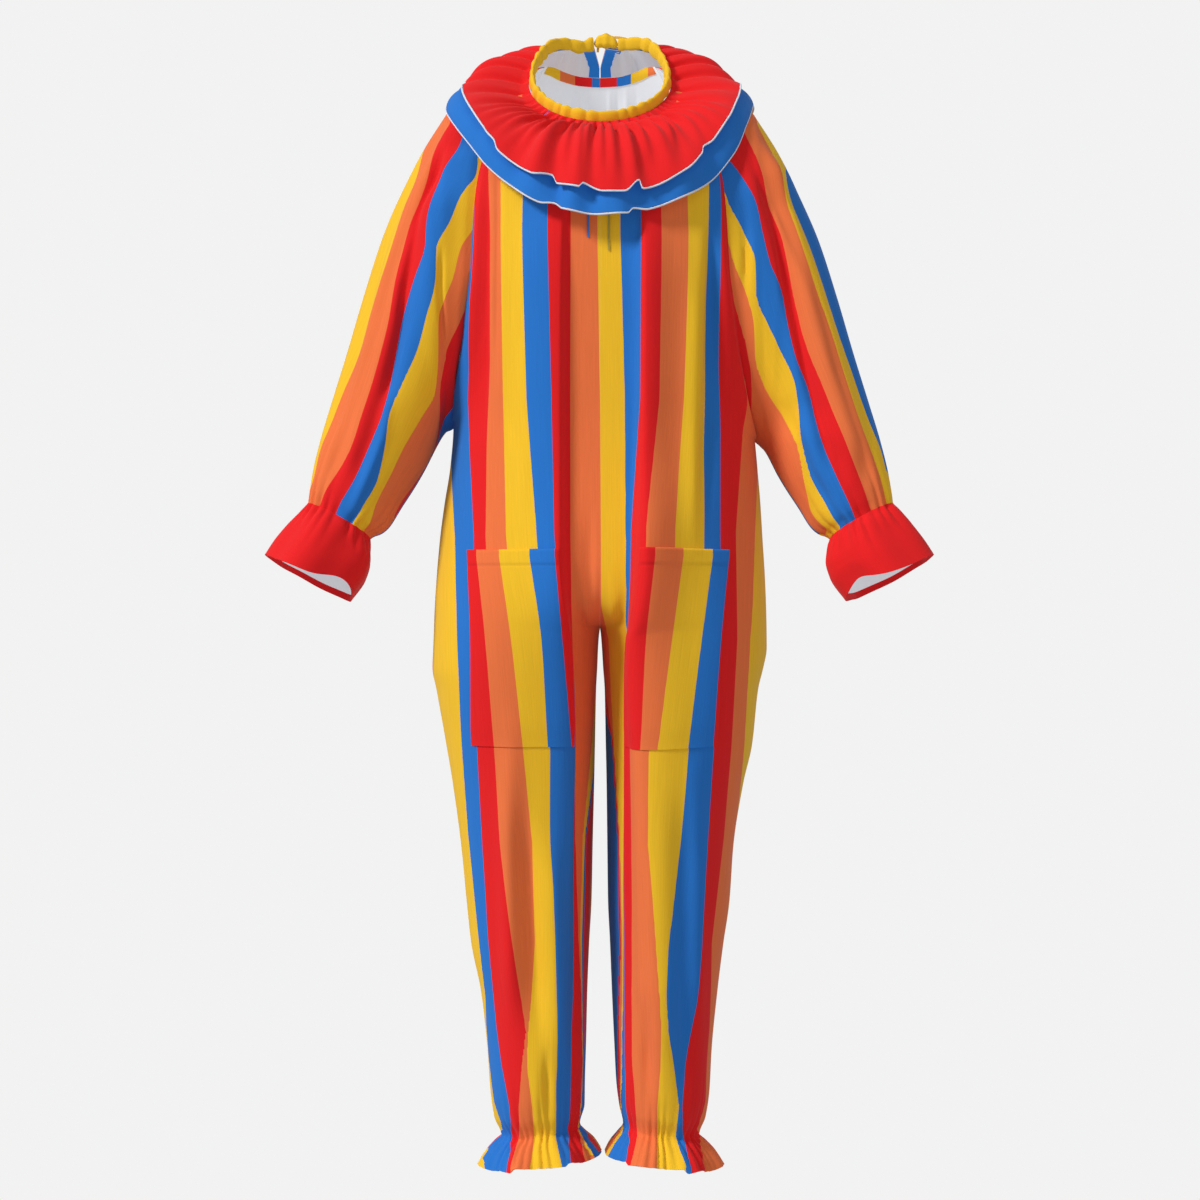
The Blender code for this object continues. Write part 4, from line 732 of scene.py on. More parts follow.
def ankle_gathers(side, face, places, z):
    share = places / places[-1]
    if z < ELASTIC_Z:
        size = GATHER_LEAST + GATHER_BELOW * (ELASTIC_Z - z) / (ELASTIC_Z - HEM_Z)
        fade = 1.0
    else:
        size = GATHER_ABOVE * max(0, 1 - (z - ELASTIC_Z) / GATHER_REACH)
        uneven = 0.75 + 0.25 * np.sin(share * 31 + SIDES[side])
        fade = np.exp(-(z - ELASTIC_Z) / (ANKLE_FADE * uneven))
    beside_inseam = 0.22 + 0.78 * ease(places / INSEAM_CALM)
    wide = size * beside_inseam * np.sin(share * math.pi * ANKLE_GATHERS / 2)
    fine = puckers(share, ANKLE_CREASES, SIDES[side] + FACES[face] * 2) - 0.6
    ends = ease(share / 0.04) * ease((1 - share) / 0.04)
    return wide + ANKLE_PUCKER * fine * fade * ends


def smooth_crotch(base, heights):
    """The lower body runs smoothly into the legs."""
    x = np.abs(base[..., 0])
    above = ease((CROTCH_Z + CROTCH_HIGH - heights) / CROTCH_FADE)
    near = ease((heights - CROTCH_Z + CROTCH_LOW) / CROTCH_FADE) * above
    near = near[:, None] * ease((x - 0.014) / 0.020) * ease((0.20 - x) / 0.03)
    for _ in range(CROTCH_PASSES):
        calm = (base[:-2, :, 1] + 2 * base[1:-1, :, 1] + base[2:, :, 1]) / 4
        base[1:-1, :, 1] += near[1:-1] * (calm - base[1:-1, :, 1])


def body_panel(side, face):
    """The fine grid of a front or back panel."""
    upper = [upper_row(side, face, up) for up in np.arange(UP_ROWS, 0, -1) / UP_ROWS]
    curves = [(curve, float(curve[DENSE // 2, 2])) for curve in upper]
    low = np.concatenate([
        np.linspace(UNDERARM_Z[side], CROTCH_Z, LOW_ROWS[0])[:-1],
        np.linspace(CROTCH_Z, ANKLE_FROM_Z, LOW_ROWS[1])[:-1],
        np.linspace(ANKLE_FROM_Z, HEM_Z, LOW_ROWS[2]),
    ])
    curves += [(lower_row(side, face, z), z) for z in low]
    base, lifts = [], []
    for curve, z in curves:
        places = column_places(side, face, curve, z)
        base.append(points_at(curve, places))
        folds = fold_heights(side, face, curve, places, z)
        lifts.append(folds + ankle_gathers(side, face, places, z))
    base, lifts = np.array(base), np.array(lifts)
    heights = np.array([z for _, z in curves])
    smooth_crotch(base, heights)
    sx, sy = SIDES[side], FACES[face]
    middles = base * (0, 0, 1) + (sx * LEG_MIDDLE, 0, 0)
    normals = outward(base, False, middles)
    lifted = base + normals * lifts[..., None]
    if face == "front":
        rise = HEM_RISE[side]
        below = np.clip((ELASTIC_Z - heights) / (ELASTIC_Z - HEM_Z), 0, 1) ** 2
        lifted[..., 2] += below[:, None] * np.interp(np.abs(base[..., 0]), rise["x"], rise["rise"])
    inward = -outward(lifted, False, middles)
    above = heights > CROTCH_Z
    lifted[above, 0, 0] = sx * THIN_SEAM / 2
    inward[above, 0, 0] = sx * np.maximum(sx * inward[above, 0, 0], 0)
    lifted[~above, 0, 1] = sy * THIN_SEAM / 2
    inward[~above, 0] = (sx, 0, 0)
    inward[:UP_ROWS, -1] = -normals[:UP_ROWS, -1]
    step = unit(base[:UP_ROWS, -2] - base[:UP_ROWS, -1])
    lifted[:UP_ROWS, -1] = base[:UP_ROWS, -1] + step * THIN_SEAM / 2
    lifted[UP_ROWS:, -1, 1] = sy * THIN_SEAM / 2
    inward[UP_ROWS:, -1] = (-sx, 0, 0)
    seam = base[UP_ROWS::-1, -1].copy()
    return dict(outer=lifted, inward=unit(inward), base=base, heights=heights, seam=seam)


def body_uv(side, face, panel):
    """Stripes that follow their own edges in front, and run straight down behind."""
    base, heights = panel["base"], panel["heights"]
    if face == "front":
        rows = np.array(sorted(STRIPES[side])) / MM
        first, step = STRIPE_NUMBERS[side]
        count = rows.shape[1] - 1
        columns = rows.T

        def edges_at(z):
            return np.stack([np.interp(z, columns[0], x) for x in columns[1:]], axis=1)

        return print_uv(numbered(base, edges_at, np.arange(count) * step + first), base)
    steps = np.linalg.norm(np.diff(base, axis=1), axis=2)
    arcs = np.concatenate([np.zeros((len(base), 1)), np.cumsum(steps, axis=1)], axis=1)
    whole = arcs[:, -1]
    half = read(BODY, "half_" + side, heights)
    turn = int(np.argmin(np.abs(heights - STRAIGHT_TO)))
    below = whole[turn] + LEG_LEAN * (half - half[turn])
    start = np.where(heights < heights[turn], below - whole, 0)[:, None]
    return print_uv(BACK_FIRST[side] + SIDES[side] * ((start + arcs) / STRIPE), base)


def body_cloth(side, face, panel):
    grids = panel["outer"], panel["inward"]
    uv = body_uv(side, face, panel)
    return cloth(f"{face}_{side}", "striped_cloth", *grids, CLOTH, [PRINT, LINING_PAINTED_GLOW], uv)


# ---- sleeves and cuffs ----------
def ring_points(columns, ring, side, angles, underarm=None):
    sign = SIDES[side]
    value = {name: float(read(columns, name, ring)) for name in columns}
    inner, outer = (
        np.array([sign * value[end + "_x"], value["middle_y"], value[end + "_z"]])
        for end in ("inner", "outer")
    )
    if underarm is not None:
        shift = underarm - np.array([sign * UNDERARM[0], 0, UNDERARM[1]])
        inner = inner + shift * (1 - ease(ring / UNDERARM_FADES))
    middle, arm = (inner + outer) / 2, (inner - outer) / 2
    tilt = math.radians(value["tilt"])
    forward = np.array([0, -math.cos(tilt), math.sin(tilt)])
    turn = np.radians(angles)
    depth = np.where(np.sin(turn) > 0, value["front"], value["back"])
    round_x, round_y = (
        np.sign(part) * np.abs(part) ** SLEEVE_ROUNDNESS for part in (np.cos(turn), np.sin(turn))
    )
    return middle + round_x[:, None] * arm + (depth * round_y)[:, None] * forward


def sleeve(side, front, back):
    """A sleeve from its raglan seam to the wrist, and its last ring, where the cuff is sewn on."""
    underarm = front["seam"][0] * (1, 0, 1)
    neck_steps = SLEEVE_COLS - 2 * UP_ROWS
    turns = np.linspace(RAGLAN_ANGLE["front"], RAGLAN_ANGLE["back"], neck_steps + 1)[1:-1]
    seam = [underarm, *front["seam"][1:], *neckline(side, turns), *back["seam"][:0:-1]]
    first = np.array(seam)
    uniform = np.arange(SLEEVE_COLS) * 360.0 / SLEEVE_COLS
    coarse = uniform[::FINER]
    high, low = float(read(SLEEVE, "outer_z", 1)), float(underarm[2])
    level = np.clip((first[::FINER, 2] - low) / (high - low), 0, 1)
    seam_like = np.degrees(np.arccos(1 - 2 * level))
    seam_like = np.where(coarse > 180, 360 - seam_like, seam_like)
    top = np.abs(coarse - 180) < TOP_ANGLE
    spread_by = np.where(coarse > 180, TOP_SPREAD_BACK, TOP_SPREAD)
    seam_like = np.where(top, 180 + (coarse - 180) * spread_by, seam_like)
    for i in range(1, len(coarse)):
        seam_like[i] = max(seam_like[i], seam_like[i - 1] + LEAST_TURN)
    turned = {"at": np.append(coarse, 360.0), "to": np.append(seam_like, 360.0)}
    seam_like = read(turned, "to", uniform)

    def ring_row(ring):
        mix = ease(ring / SEAM_FADES)
        angles = (1 - mix) * seam_like + mix * uniform
        return ring_points(SLEEVE, ring, side, angles, underarm)

    one, two = ring_row(1.0), ring_row(1 + HEAD_RUN)
    start_run, end_run = (one - first), (two - one) / HEAD_RUN
    head = np.linspace(0, 1, HEAD_ROWS + 1)[:-1]
    below = np.linspace(1, LAST_RING, SLEEVE_ROWS)
    rows = [
        first * (2 * t**3 - 3 * t**2 + 1) + start_run * (t**3 - 2 * t**2 + t)
        + one * (3 * t**2 - 2 * t**3) + end_run * (t**3 - t**2)
        for t in head
    ]
    base = np.array(rows + [ring_row(ring) for ring in below])
    rings = np.append(head, below)
    middles = centres(base)
    lift = sleeve_folds(side, rings, uniform)
    calm = ease(rings / 0.3) * ease((LAST_RING - rings) / SLEEVE_FADE)
    lift += line_folds(side, base, uniform) * calm[:, None]
    outer = base + outward(base, True, middles) * lift[..., None]
    inward = -outward(outer, True, middles)
    for step in range(UP_ROWS + 1):  # both sides of the raglan seam have one direction inward
        for column, panel in ((step, front), ((SLEEVE_COLS - step) % SLEEVE_COLS, back)):
            shared = inward[0, column] + panel["inward"][UP_ROWS - step, -1]
            if step == 0:
                shared[1] = 0
            panel["inward"][UP_ROWS - step, -1] = inward[0, column] = unit(shared)
    outer[0] = base[0] + unit(base[1] - base[0]) * THIN_SEAM
    uv, wrap = sleeve_uv(side, base)
    made = cloth(f"sleeve_{side}", "striped_cloth", outer, inward, CLOTH, [PRINT, LINING_PAINTED_GLOW], uv, True,
                 wrap=wrap)
    return made, outer[-1]


def line_folds(side, base, angles):
    """Folds on the front of a sleeve, by their lines as seen from the front."""
    x, z = np.abs(base[..., 0]), base[..., 2]
    lift = np.zeros(x.shape)
    for outer, inner, height, *line in SLEEVE_LINES[side]:
        at_x, at_z = np.array(line[::-1]).T / MM
        away = x - np.interp(z, at_z, at_x)
        wide = np.where(away > 0, outer, inner) / MM
        strength = ease((z - at_z[0]) / LINE_ENDS + 0.3) * ease((at_z[-1] - z) / LINE_ENDS + 0.3)
        lift += height / MM * strength * bell(away, wide)
    return lift * ease(angles / 25) * ease((178 - angles) / 25)


def sleeve_folds(side, rings, angles):
    """Soft folds along a sleeve, and gathers above the elastic."""
    lift = np.zeros((len(rings), len(angles)))
    for start_angle, end_angle, start, end, width, height in SLEEVE_CREASES:
        share = np.clip((rings - start) / (end - start), 0, 1)
        at = start_angle + (end_angle - start_angle) * share
        strength = ease((rings - start) / SLEEVE_FADE) * ease((end - rings) / SLEEVE_FADE)
        away = (angles[None, :] - at[:, None] + 180) % 360 - 180
        lift += height / MM * strength[:, None] * bell(away, width)
    puff = SLEEVE_PUFF[side] * ease(rings / 0.25) * (1 - ease((rings - 0.25) / 1.1))
    puff = puff[:, None] * ease((np.abs(angles - 180) - 50) / 20)[None, :]
    share = angles / 360
    uneven = 0.75 + 0.25 * np.sin(share * 6 * math.pi)
    near = np.exp(-(LAST_RING - rings)[:, None] / (WRIST_FADE * uneven)[None, :])
    fine = puckers(share, WRIST_CREASES, SIDES[side]) - 0.55
    inner_side = (0.5 + 0.5 * np.cos(np.radians(angles))) ** 2
    hang = bell(rings - BLOUSE_RING, BLOUSE_WIDE) * ease((LAST_RING - rings) / SLEEVE_FADE)
    deeper = (1 + 0.8 * ease((LAST_RING - rings) / 1.0))[:, None]
    blouse = BLOUSE * hang[:, None] * inner_side[None, :]
    return lift + puff + blouse + WRIST_PUCKER * near * deeper * fine[None, :]


def sleeve_uv(side, base):
    """Stripe numbers round a sleeve: measured on the front, and mirrored behind.

    The last faces end in numbers of their own, because the stripes don't meet at the underarm.
    """
    half = base.shape[1] // 2
    edges_at, count = smooth_edges(SLEEVE_STRIPES[side])
    numbers = np.arange(count) + float(SLEEVE_FIRST[side])
    front = numbered(base[:, : half + 1], edges_at, numbers, -1)
    behind = np.append(base[:, half:], base[:, :1], axis=1)
    turned = 2 * OUTER_NUMBER - numbered(behind, edges_at, numbers, -1)
    fade = 1 - ease(np.arange(half + 1) / half / 0.2)
    turned += 2 * (front[:, half:] - OUTER_NUMBER) * fade
    u = np.append(front[:, :half], turned[:, :-1], axis=1)
    return print_uv(2 - u, base), print_uv(2 - turned[:, -1], base[:, 0])


def cuff(side, seam):
    angles = np.arange(SLEEVE_COLS) * 360.0 / SLEEVE_COLS
    rings = np.linspace(1, CUFF_LAST, CUFF_ROWS)
    base = np.array([ring_points(CUFF, r, side, angles) for r in rings])
    middles = centres(base)
    down = (rings - 1)[:, None]
    share = angles / 360
    uneven = (0.75 + 0.25 * np.sin(share * 10 * math.pi + SIDES[side]))[None, :]
    near = 1 - ease((down - 0.4) / (CUFF_CREASED * uneven))
    wave = puckers(share, WRIST_CREASES, SIDES[side]) - 0.55
    soft = 0.7 * np.sin(np.radians(angles) * 5 + SIDES[side]) * np.clip(down / 2, 0, 1)
    base = base + outward(base, True, middles) * (WRIST_PUCKER * (near * wave + soft))[..., None]
    base = base + (seam - base[0]) * (1 - ease(down / 0.5))[..., None]
    away = (angles - CUFF_RISE_AT + 180) % 360 - 180
    folded = CUFF_RISE * bell(away, CUFF_RISE_WIDE)[None, :] * (down / (CUFF_LAST - 1)) ** 2
    along_arm = unit(base[0].mean(axis=0) - base[-1].mean(axis=0))
    base = base + along_arm * folded[..., None]
    inward = -outward(base, True, middles)
    uv = plain_uv(np.arange(SLEEVE_COLS) / SLEEVE_COLS, base[..., 2], base.shape[:2])
    return cloth(f"cuff_{side}", "red_cloth", base, inward, CLOTH, [RED, LINING_PAINTED_GLOW], uv, True, CUFF_HEM)


# ---- neck band, collar ----------
def band_ring(angles):
    turn = np.radians(angles)
    depth = np.where(np.cos(turn) > 0, BAND_FRONT, BAND_BACK)
    height = read(BAND_Z, "z", np.abs(angles))
    return np.stack([BAND_X * np.sin(turn), -depth * np.cos(turn), height], axis=1)


def band_frame(angles):
    """The band's middle line, and its directions up and outward."""
    middle = band_ring(angles)
    tangent = unit(band_ring(angles + 0.5) - band_ring(angles - 0.5))
    tall = np.tile(BAND_UP, (len(middle), 1))
    tall = unit(tall - tangent * np.sum(tall * tangent, axis=1, keepdims=True))
    return middle, tall, np.cross(tangent, tall)


def tube(node, slot, section, middle, thickness, finish, uv):
    """A soft tube: the section lists the points round it for each of its turns."""
    outer = np.array(section).transpose(1, 0, 2)
    middles = np.repeat(middle[:, None, :], outer.shape[1], axis=1)
    inward = -outward(outer, True, middles)
    return cloth(node, slot, outer, inward, thickness, [finish, finish], uv, loop=True)


def neck_band():
    """A gathered casing round its elastic, as a soft tube with a crease at each pucker."""
    count = BAND_STEPS * BAND_BUMPS + 1
    angles = np.linspace(BAND_ENDS["left"], BAND_ENDS["right"], count)
    middle, tall, thick = band_frame(angles)
    for at, width, height in BAND_WAVES:
        middle[:, 2] += height / MM * bell(angles - at, width)
    bump = puckers(np.linspace(0, 1, count), BAND_BUMPS, 0.4)
    turns = around(BAND_SIDES)
    section = []
    for turn in turns:
        u, v = (math.copysign(abs(w) ** BAND_SQUARE, w) for w in (math.cos(turn), math.sin(turn)))
        section.append(
            middle + tall * (u * 0.5 * BAND_HIGH * (0.76 + 0.24 * bump))[:, None]
            + thick * (v * 0.5 * BAND_DEEP * (0.50 + 0.50 * bump))[:, None]
        )
    uv = plain_uv(angles[:, None] / 360, turns[None, :] / 6.3, (count, len(turns)))
    return tube("neck_band", "yellow_cloth", section, middle, THIN, YELLOW, uv)


def flute_heights(layer, angles):
    return sum(h / MM * bell(angles - at, w) for at, w, h in FLUTES[layer])


def collar_grid(layer, angles, reach):
    """Points of a collar layer on (rows, columns) of reach and angle."""
    turn = np.radians(angles)
    cosine, sine = np.cos(turn), np.sin(turn)
    outward_to = np.stack([sine, -cosine, 0 * sine], axis=1)
    middle, tall, thick = band_frame(angles)
    root = middle + thick * COLLAR_ROOT_OUT - tall * COLLAR_ROOT_LOW
    far_y = np.where(cosine > 0, COLLAR_EDGE["front"], COLLAR_EDGE["back"])
    edge_z = read(COLLAR_EDGE_Z, "z", angles)
    edge = np.stack([COLLAR_EDGE["x"] * sine, -far_y * cosine, edge_z], axis=1)
    swing = reach * math.pi / 2
    share = np.stack([np.sin(swing), np.sin(swing), 1 - np.cos(swing)], axis=-1)
    points = root + (edge - root) * share
    points[..., 2] += read(COLLAR_CROWN, "rise", np.abs(angles)) * np.sin(math.pi * reach)
    tucked = ROOT_LOWER * ease((ROOT_FRONT - np.abs(angles)) / ROOT_TURN)
    tucked = tucked * ease(reach / ROOT_FADE) * (1 - reach)
    points = points - tall * tucked[..., None] + thick * (ROOT_OUT * tucked / ROOT_LOWER)[..., None]
    across = np.linalg.norm((edge - root)[:, :2], axis=1)
    drop = np.abs(edge[:, 2] - root[:, 2])
    normal = outward_to * (drop * np.sin(swing))[..., None] + tall * (across * np.cos(swing))[..., None]
    normal = unit(normal + outward_to * 1e-6)
    lift = flute_heights("blue", angles) * reach**FLUTE_GROWTH
    if layer == "red":
        step = reach / read(RED_SHARE, "share", angles)
        lift = lift + flute_heights("red", angles) * step**FLUTE_GROWTH
    points[..., 2] += FLUTE_RISE * lift
    if layer == "red":
        lift = lift + LAYER_LIFT + LAYER_SPREAD * reach
    lift = lift + collar_folds(layer, angles, reach)
    for at, out, wide, deep, height in COLLAR_PUFFS:
        away = ((angles[None, :] - at) / wide) ** 2 + ((reach - out) / deep) ** 2
        share = 0.45 if layer == "blue" and height < 0 else 1.0
        lift = lift + share * (height / MM) * np.exp(-away) * ease(reach / 0.1)
    return points + normal * lift[..., None]


def collar_folds(layer, angles, reach):
    """Gathers that start at the band, spread like a fan and fade before the edge.

    The blue layer is sewn into the same seam, so it follows the red one's gathers.
    """
    total = np.zeros(reach.shape)
    gathers = COLLAR_GATHERS["red"]
    if layer == "blue":
        gathers = gathers + COLLAR_GATHERS["blue"]
    for at_band, at_edge, start, end, width, depth in gathers:
        share = np.clip((reach - start) / (end - start), 0, 1)
        middle = at_band + (at_edge - at_band) * np.clip(reach / 0.85, 0, 1)
        long = end >= LONG_REACH and abs(at_band) < LONG_ANGLE
        widens, deeper = LONG_GATHER if long else SHORT_GATHER
        strength = ease(reach / 0.05) * (1 - ease(share)) ** 0.8
        away = angles[None, :] - middle
        total += depth / MM * deeper * strength * bell(away, width * (0.35 + widens * reach))
    return total


def edge_reach(layer, angles):
    """How far a layer reaches, with the small steps where a fold ends in its edge."""
    far = read(RED_SHARE, "share", angles) if layer == "red" else np.ones(len(angles))
    for at, before, after, amount in EDGE_STEPS[layer]:
        rise = np.clip((angles - (at - before)) / before, 0, 1)
        fall = np.clip((at + after - angles) / after, 0, 1)
        far = far - amount * ease(rise) * np.where(angles > at, ease(fall), 1)
    return far


def collar(layer):
    angles = np.linspace(-COLLAR_STOPS, COLLAR_STOPS, COLLAR_COLS)
    reach = edge_reach(layer, angles)[None, :] * np.linspace(0, 1, COLLAR_STEPS)[:, None]
    grid = collar_grid(layer, angles, reach)
    spread_out = SLIT_OPEN * np.maximum(0, 1 - (reach / SLIT_CLOSES) ** 2)
    behind = np.abs(angles) > 90
    near_end = np.where(behind, np.maximum(0, 1 - np.abs(grid[..., 0]) / SLIT_FADE), 0)
    grid[..., 0] += np.sign(angles) * spread_out * near_end
    inward = -outward(grid, False, np.array([0.0, 0.0, -0.30]))
    inward[:, [0, -1], 0] = 0
    inward = unit(inward)
    uv = plain_uv(angles / 360, reach, reach.shape)
    finishes = [RED if layer == "red" else BLUE, LINING_PAINTED_GLOW]
    made = cloth(f"collar_{layer}", f"{layer}_cloth", grid, inward, CLOTH, finishes, uv)
    return made, grid, inward


def edging(layer, grid, inward):
    """The rolled white edge, as a soft tube along the collar's edge."""
    away = unit(grid[-1] - grid[-2])
    away[[0, -1], 0] = 0
    middle = grid[-1] + away * (SEAM + EDGING_WIDTH / 2) + inward * CLOTH / 2
    turns = around(EDGING_SIDES)
    section = [
        middle + away * math.cos(t) * EDGING_WIDTH / 2 - inward * math.sin(t) * EDGING_THICK / 2
        for t in turns
    ]
    uv = np.stack(np.meshgrid(np.arange(len(turns)), np.arange(len(middle))), axis=-1) / 1.0
    return tube(f"edging_{layer}", "white_edging", section, middle, NARROW, WHITE, uv)


# ---- pieces on the panels ----------
def pocket(side, panel):
    """A patch pocket on the panel's points, with a folded hem and its stitch line at the top."""
    first = FRONT_PARTS[0] + FRONT_PARTS[1]
    cols = slice(first, first + FRONT_PARTS[2] + 1)
    low, high = POCKET[side]["z"][[0, -1]]
    heights = panel["heights"][::-1]
    where = np.linspace(high, low, POCKET_ROWS)
    row = np.interp(where, heights, np.arange(len(heights))[::-1])
    directions = unit(between(panel["inward"][:, cols], row))
    outer = between(panel["outer"][:, cols], row)
    down = high - where
    raised = HEM_RAISE * (1 - ease((down - POCKET_HEM) / 0.003)) * ease(down / 0.002)
    groove = STITCH_DEEP * bell(down - POCKET_HEM + 0.001, STITCH_WIDE)
    across = np.linspace(0, 1, outer.shape[1])[None, :]
    sides = ease(across / POCKET_SIDES) * ease((1 - across) / POCKET_SIDES)
    lower = (1 - ease((where - low) / POCKET_LOWER))[:, None]
    lift = (LAYER_GAP + CLOTH) * (1 - LOWER_FLAT * lower) + (raised - groove)[:, None] * sides
    lift = lift + POCKET_BULGE * sides
    outer = outer - directions * lift[..., None]
    edges_at, count = smooth_edges(POCKET_STRIPES[side])
    numbers = numbered(outer, edges_at, np.arange(count) + 1.0, SIDES[side])
    uv = print_uv(numbers, outer)
    return cloth(f"pocket_{side}", "striped_cloth", outer, directions, CLOTH, [PRINT, LINING_PAINTED_GLOW], uv)


def facing(side, panel):
    """The print shows on the facing, which is turned in along the back neckline."""
    rows, turned = panel["outer"][:6, :-3], panel["inward"][:6, :-3]
    row_step = np.linalg.norm(rows[1] - rows[0], axis=1)
    columns = np.arange(len(row_step))
    outer, directions = [], []
    for down in np.linspace(0, FACING_DEPTH, 7):
        row = np.minimum(down / row_step, 4.99)
        at = row.astype(int)
        part = (row - at)[:, None]
        direction = unit(turned[at, columns] * (1 - part) + turned[at + 1, columns] * part)
        point = rows[at, columns] * (1 - part) + rows[at + 1, columns] * part
        outer.append(point + direction * (CLOTH + LAYER_GAP))
        directions.append(direction)
    outer, directions = np.array(outer), np.array(directions)
    stripes = FACING_STRIPES[side]
    uv = print_uv(np.interp(np.abs(outer[..., 0]), stripes["x"], stripes["number"]), outer)
    return cloth(f"facing_{side}", "striped_cloth", outer, directions, THIN, [PRINT, PRINT], uv)


def strip(node, slot, rows, inward, thickness, finish):
    rows = np.array(rows)
    uv = np.stack(np.meshgrid(np.arange(rows.shape[1]), np.arange(rows.shape[0])), axis=-1) / 10.0
    return cloth(node, slot, rows, inward, thickness, [finish, finish], uv)


def tape(side):
    """A thin tape that lies on the front, with a rounded end."""
    x, top_z, bottom_z = TAPES[side]
    rows = []
    for z in np.linspace(top_z, bottom_z, 40):
        rounded = math.sqrt(max(0.0, 1 - max(0.0, 1 - (z - bottom_z) / TAPE_ROUND) ** 2))
        row = []
        for offset in np.linspace(-1, 1, 5) * TAPE_WIDTH / 2 * (0.15 + 0.85 * rounded):
            depth = float(depth_at(side, "front", abs(x + offset), z))
            row.append((x + offset, -depth - LAYER_GAP - TAPE_THICK, z))
        rows.append(row)
    inward = np.zeros((len(rows), 5, 3)) + (0.0, 1.0, 0.0)
    # the right strip is drawn dark olive where a dark line lies over the yellow stripe
    finish = BLUE if side == "left" else OLIVE
    return strip(f"tape_{side}", "blue_cloth", rows, inward, TAPE_LAYER, finish)


def placket(side, grid, inward):
    """The hem along one end of the blue layer, wider at the top."""
    end, near = (0, 1) if side == "left" else (-1, -2)
    rows, directions = [], []
    for i in range(grid.shape[0]):
        step = max(np.linalg.norm(grid[i, near] - grid[i, end]), 1e-6)
        wide = HEM_STRIP * (1.5 + 0.5 * max(0.0, 1 - i / 6))
        index = [min(int(round(t / step)), 24) for t in np.linspace(0, wide, 7)]
        columns = [j if side == "left" else -1 - j for j in index]
        directions.append(inward[i, columns])
        rows.append(grid[i, columns] + directions[-1] * (CLOTH + HEM_GAP))
    return strip(f"placket_{side}", "blue_cloth", rows, np.array(directions), THIN, BINDING_PAINTED_GLOW)


def tie():
    """The knot between the band's ends, and the two short ends behind it."""
    left, right = band_ring(np.array([BAND_ENDS["left"], BAND_ENDS["right"]]))
    middle, half = (left + right) / 2, (right - left) / 2
    half = half * (1 - SEAM / np.linalg.norm(half))
    turns = around(KNOT_SIDES)
    rows = []
    for s in np.linspace(-KNOT_END, KNOT_END, KNOT_ROWS):
        radius = math.sqrt(1 - s * s) * (1 + 0.07 * math.cos(9 * s))
        centre = middle + half * s + (0, 0, KNOT_ARCH * (1 - s * s))
        rows.append([
            centre + (0, KNOT_DEEP * radius * math.cos(t) * (1 + 0.05 * math.cos(5 * t)),
                      KNOT_TALL * radius * math.sin(t)) for t in turns
        ])
    rows = np.array(rows)
    inward = -outward(rows, True, centres(rows))
    uv = np.zeros(rows.shape[:2] + (2,))
    pieces = [cloth("tie_knot", "yellow_cloth", rows, inward, THIN, [YELLOW, YELLOW], uv, True)]
    behind = middle[1] + KNOT_DEEP + SEAM
    for node, path in TIE_PATHS.items():
        line = np.array([(x, behind, z) for x, z in path])
        smooth = points_at(line, np.linspace(0, along(line)[-1], 30))
        for _ in range(6):
            smooth[1:-1] = (smooth[:-2] + 2 * smooth[1:-1] + smooth[2:]) / 4
        tangent = unit(np.gradient(smooth, axis=0))
        side_way = np.cross(tangent, [0.0, 1.0, 0.0]) * TIE_WIDTH / 2
        rows = np.array([[p + a * s for s in np.linspace(-1, 1, 5)] for p, a in zip(smooth, side_way)])
        away = np.zeros(rows.shape) + (0.0, 1.0, 0.0)
        pieces.append(strip(node, "yellow_cloth", rows, away, TIE_THICK, YELLOW))
    return pieces


# ---- finishes ----------
def add(tree, kind, sockets=None, **settings):
    """A new node, with its sockets fed by values or by other nodes' outputs."""
    made = tree.nodes.new("ShaderNode" + kind)
    for name, value in settings.items():
        setattr(made, name, value)
    feed(tree, made, sockets or {})
    return made


def feed(tree, node, sockets):
    for name, value in sockets.items():
        if isinstance(value, bpy.types.NodeSocket):
            tree.links.new(value, node.inputs[name])
        else:
            node.inputs[name].default_value = value


def material(name):
    made = bpy.data.materials.new(name)
    made.use_nodes = True
    return made, made.node_tree


def finish(name, colour, ribs=None, light=0):
    """A matte cloth, with fine ribs along its own threads; with light above zero it glows in its own
    colour, a painted glow that brightens it in shade.
    """
    made, tree = material(name)
    shader = tree.nodes["Principled BSDF"]
    colour = (*COLOURS[colour], 1)
    feed(tree, shader, {
        "Base Color": colour,
        "Roughness": 0.9,
        "Specular IOR Level": 0.18,
        "Sheen Weight": 0.06,
        "Sheen Roughness": 0.5,
    })
    # painted light: an emission of the cloth's own colour brightens it in shade, though it is no lamp
    if light:
        feed(tree, shader, {"Emission Color": colour, "Emission Strength": light})
    if ribs:
        sockets = {"Strength": 0.35, "Distance": 0.0006, "Height": streaks(tree, ribs)}
        feed(tree, shader, {"Normal": add(tree, "Bump", sockets).outputs["Normal"]})
    return made


def cloth_coordinates(tree):
    return add(tree, "UVMap", uv_map="Cloth").outputs["UV"]


def streaks(tree, ribs):
    """Noise drawn out along the cloth: narrow across it and long down it."""
    sockets = {0: cloth_coordinates(tree), 1: (*ribs, 1)}
    stretch = add(tree, "VectorMath", sockets, operation="MULTIPLY")
    sockets = {"Vector": stretch.outputs["Vector"], "Scale": 1.0, "Detail": 3.0, "Roughness": 0.6}
    return add(tree, "TexNoise", sockets).outputs["Fac"]


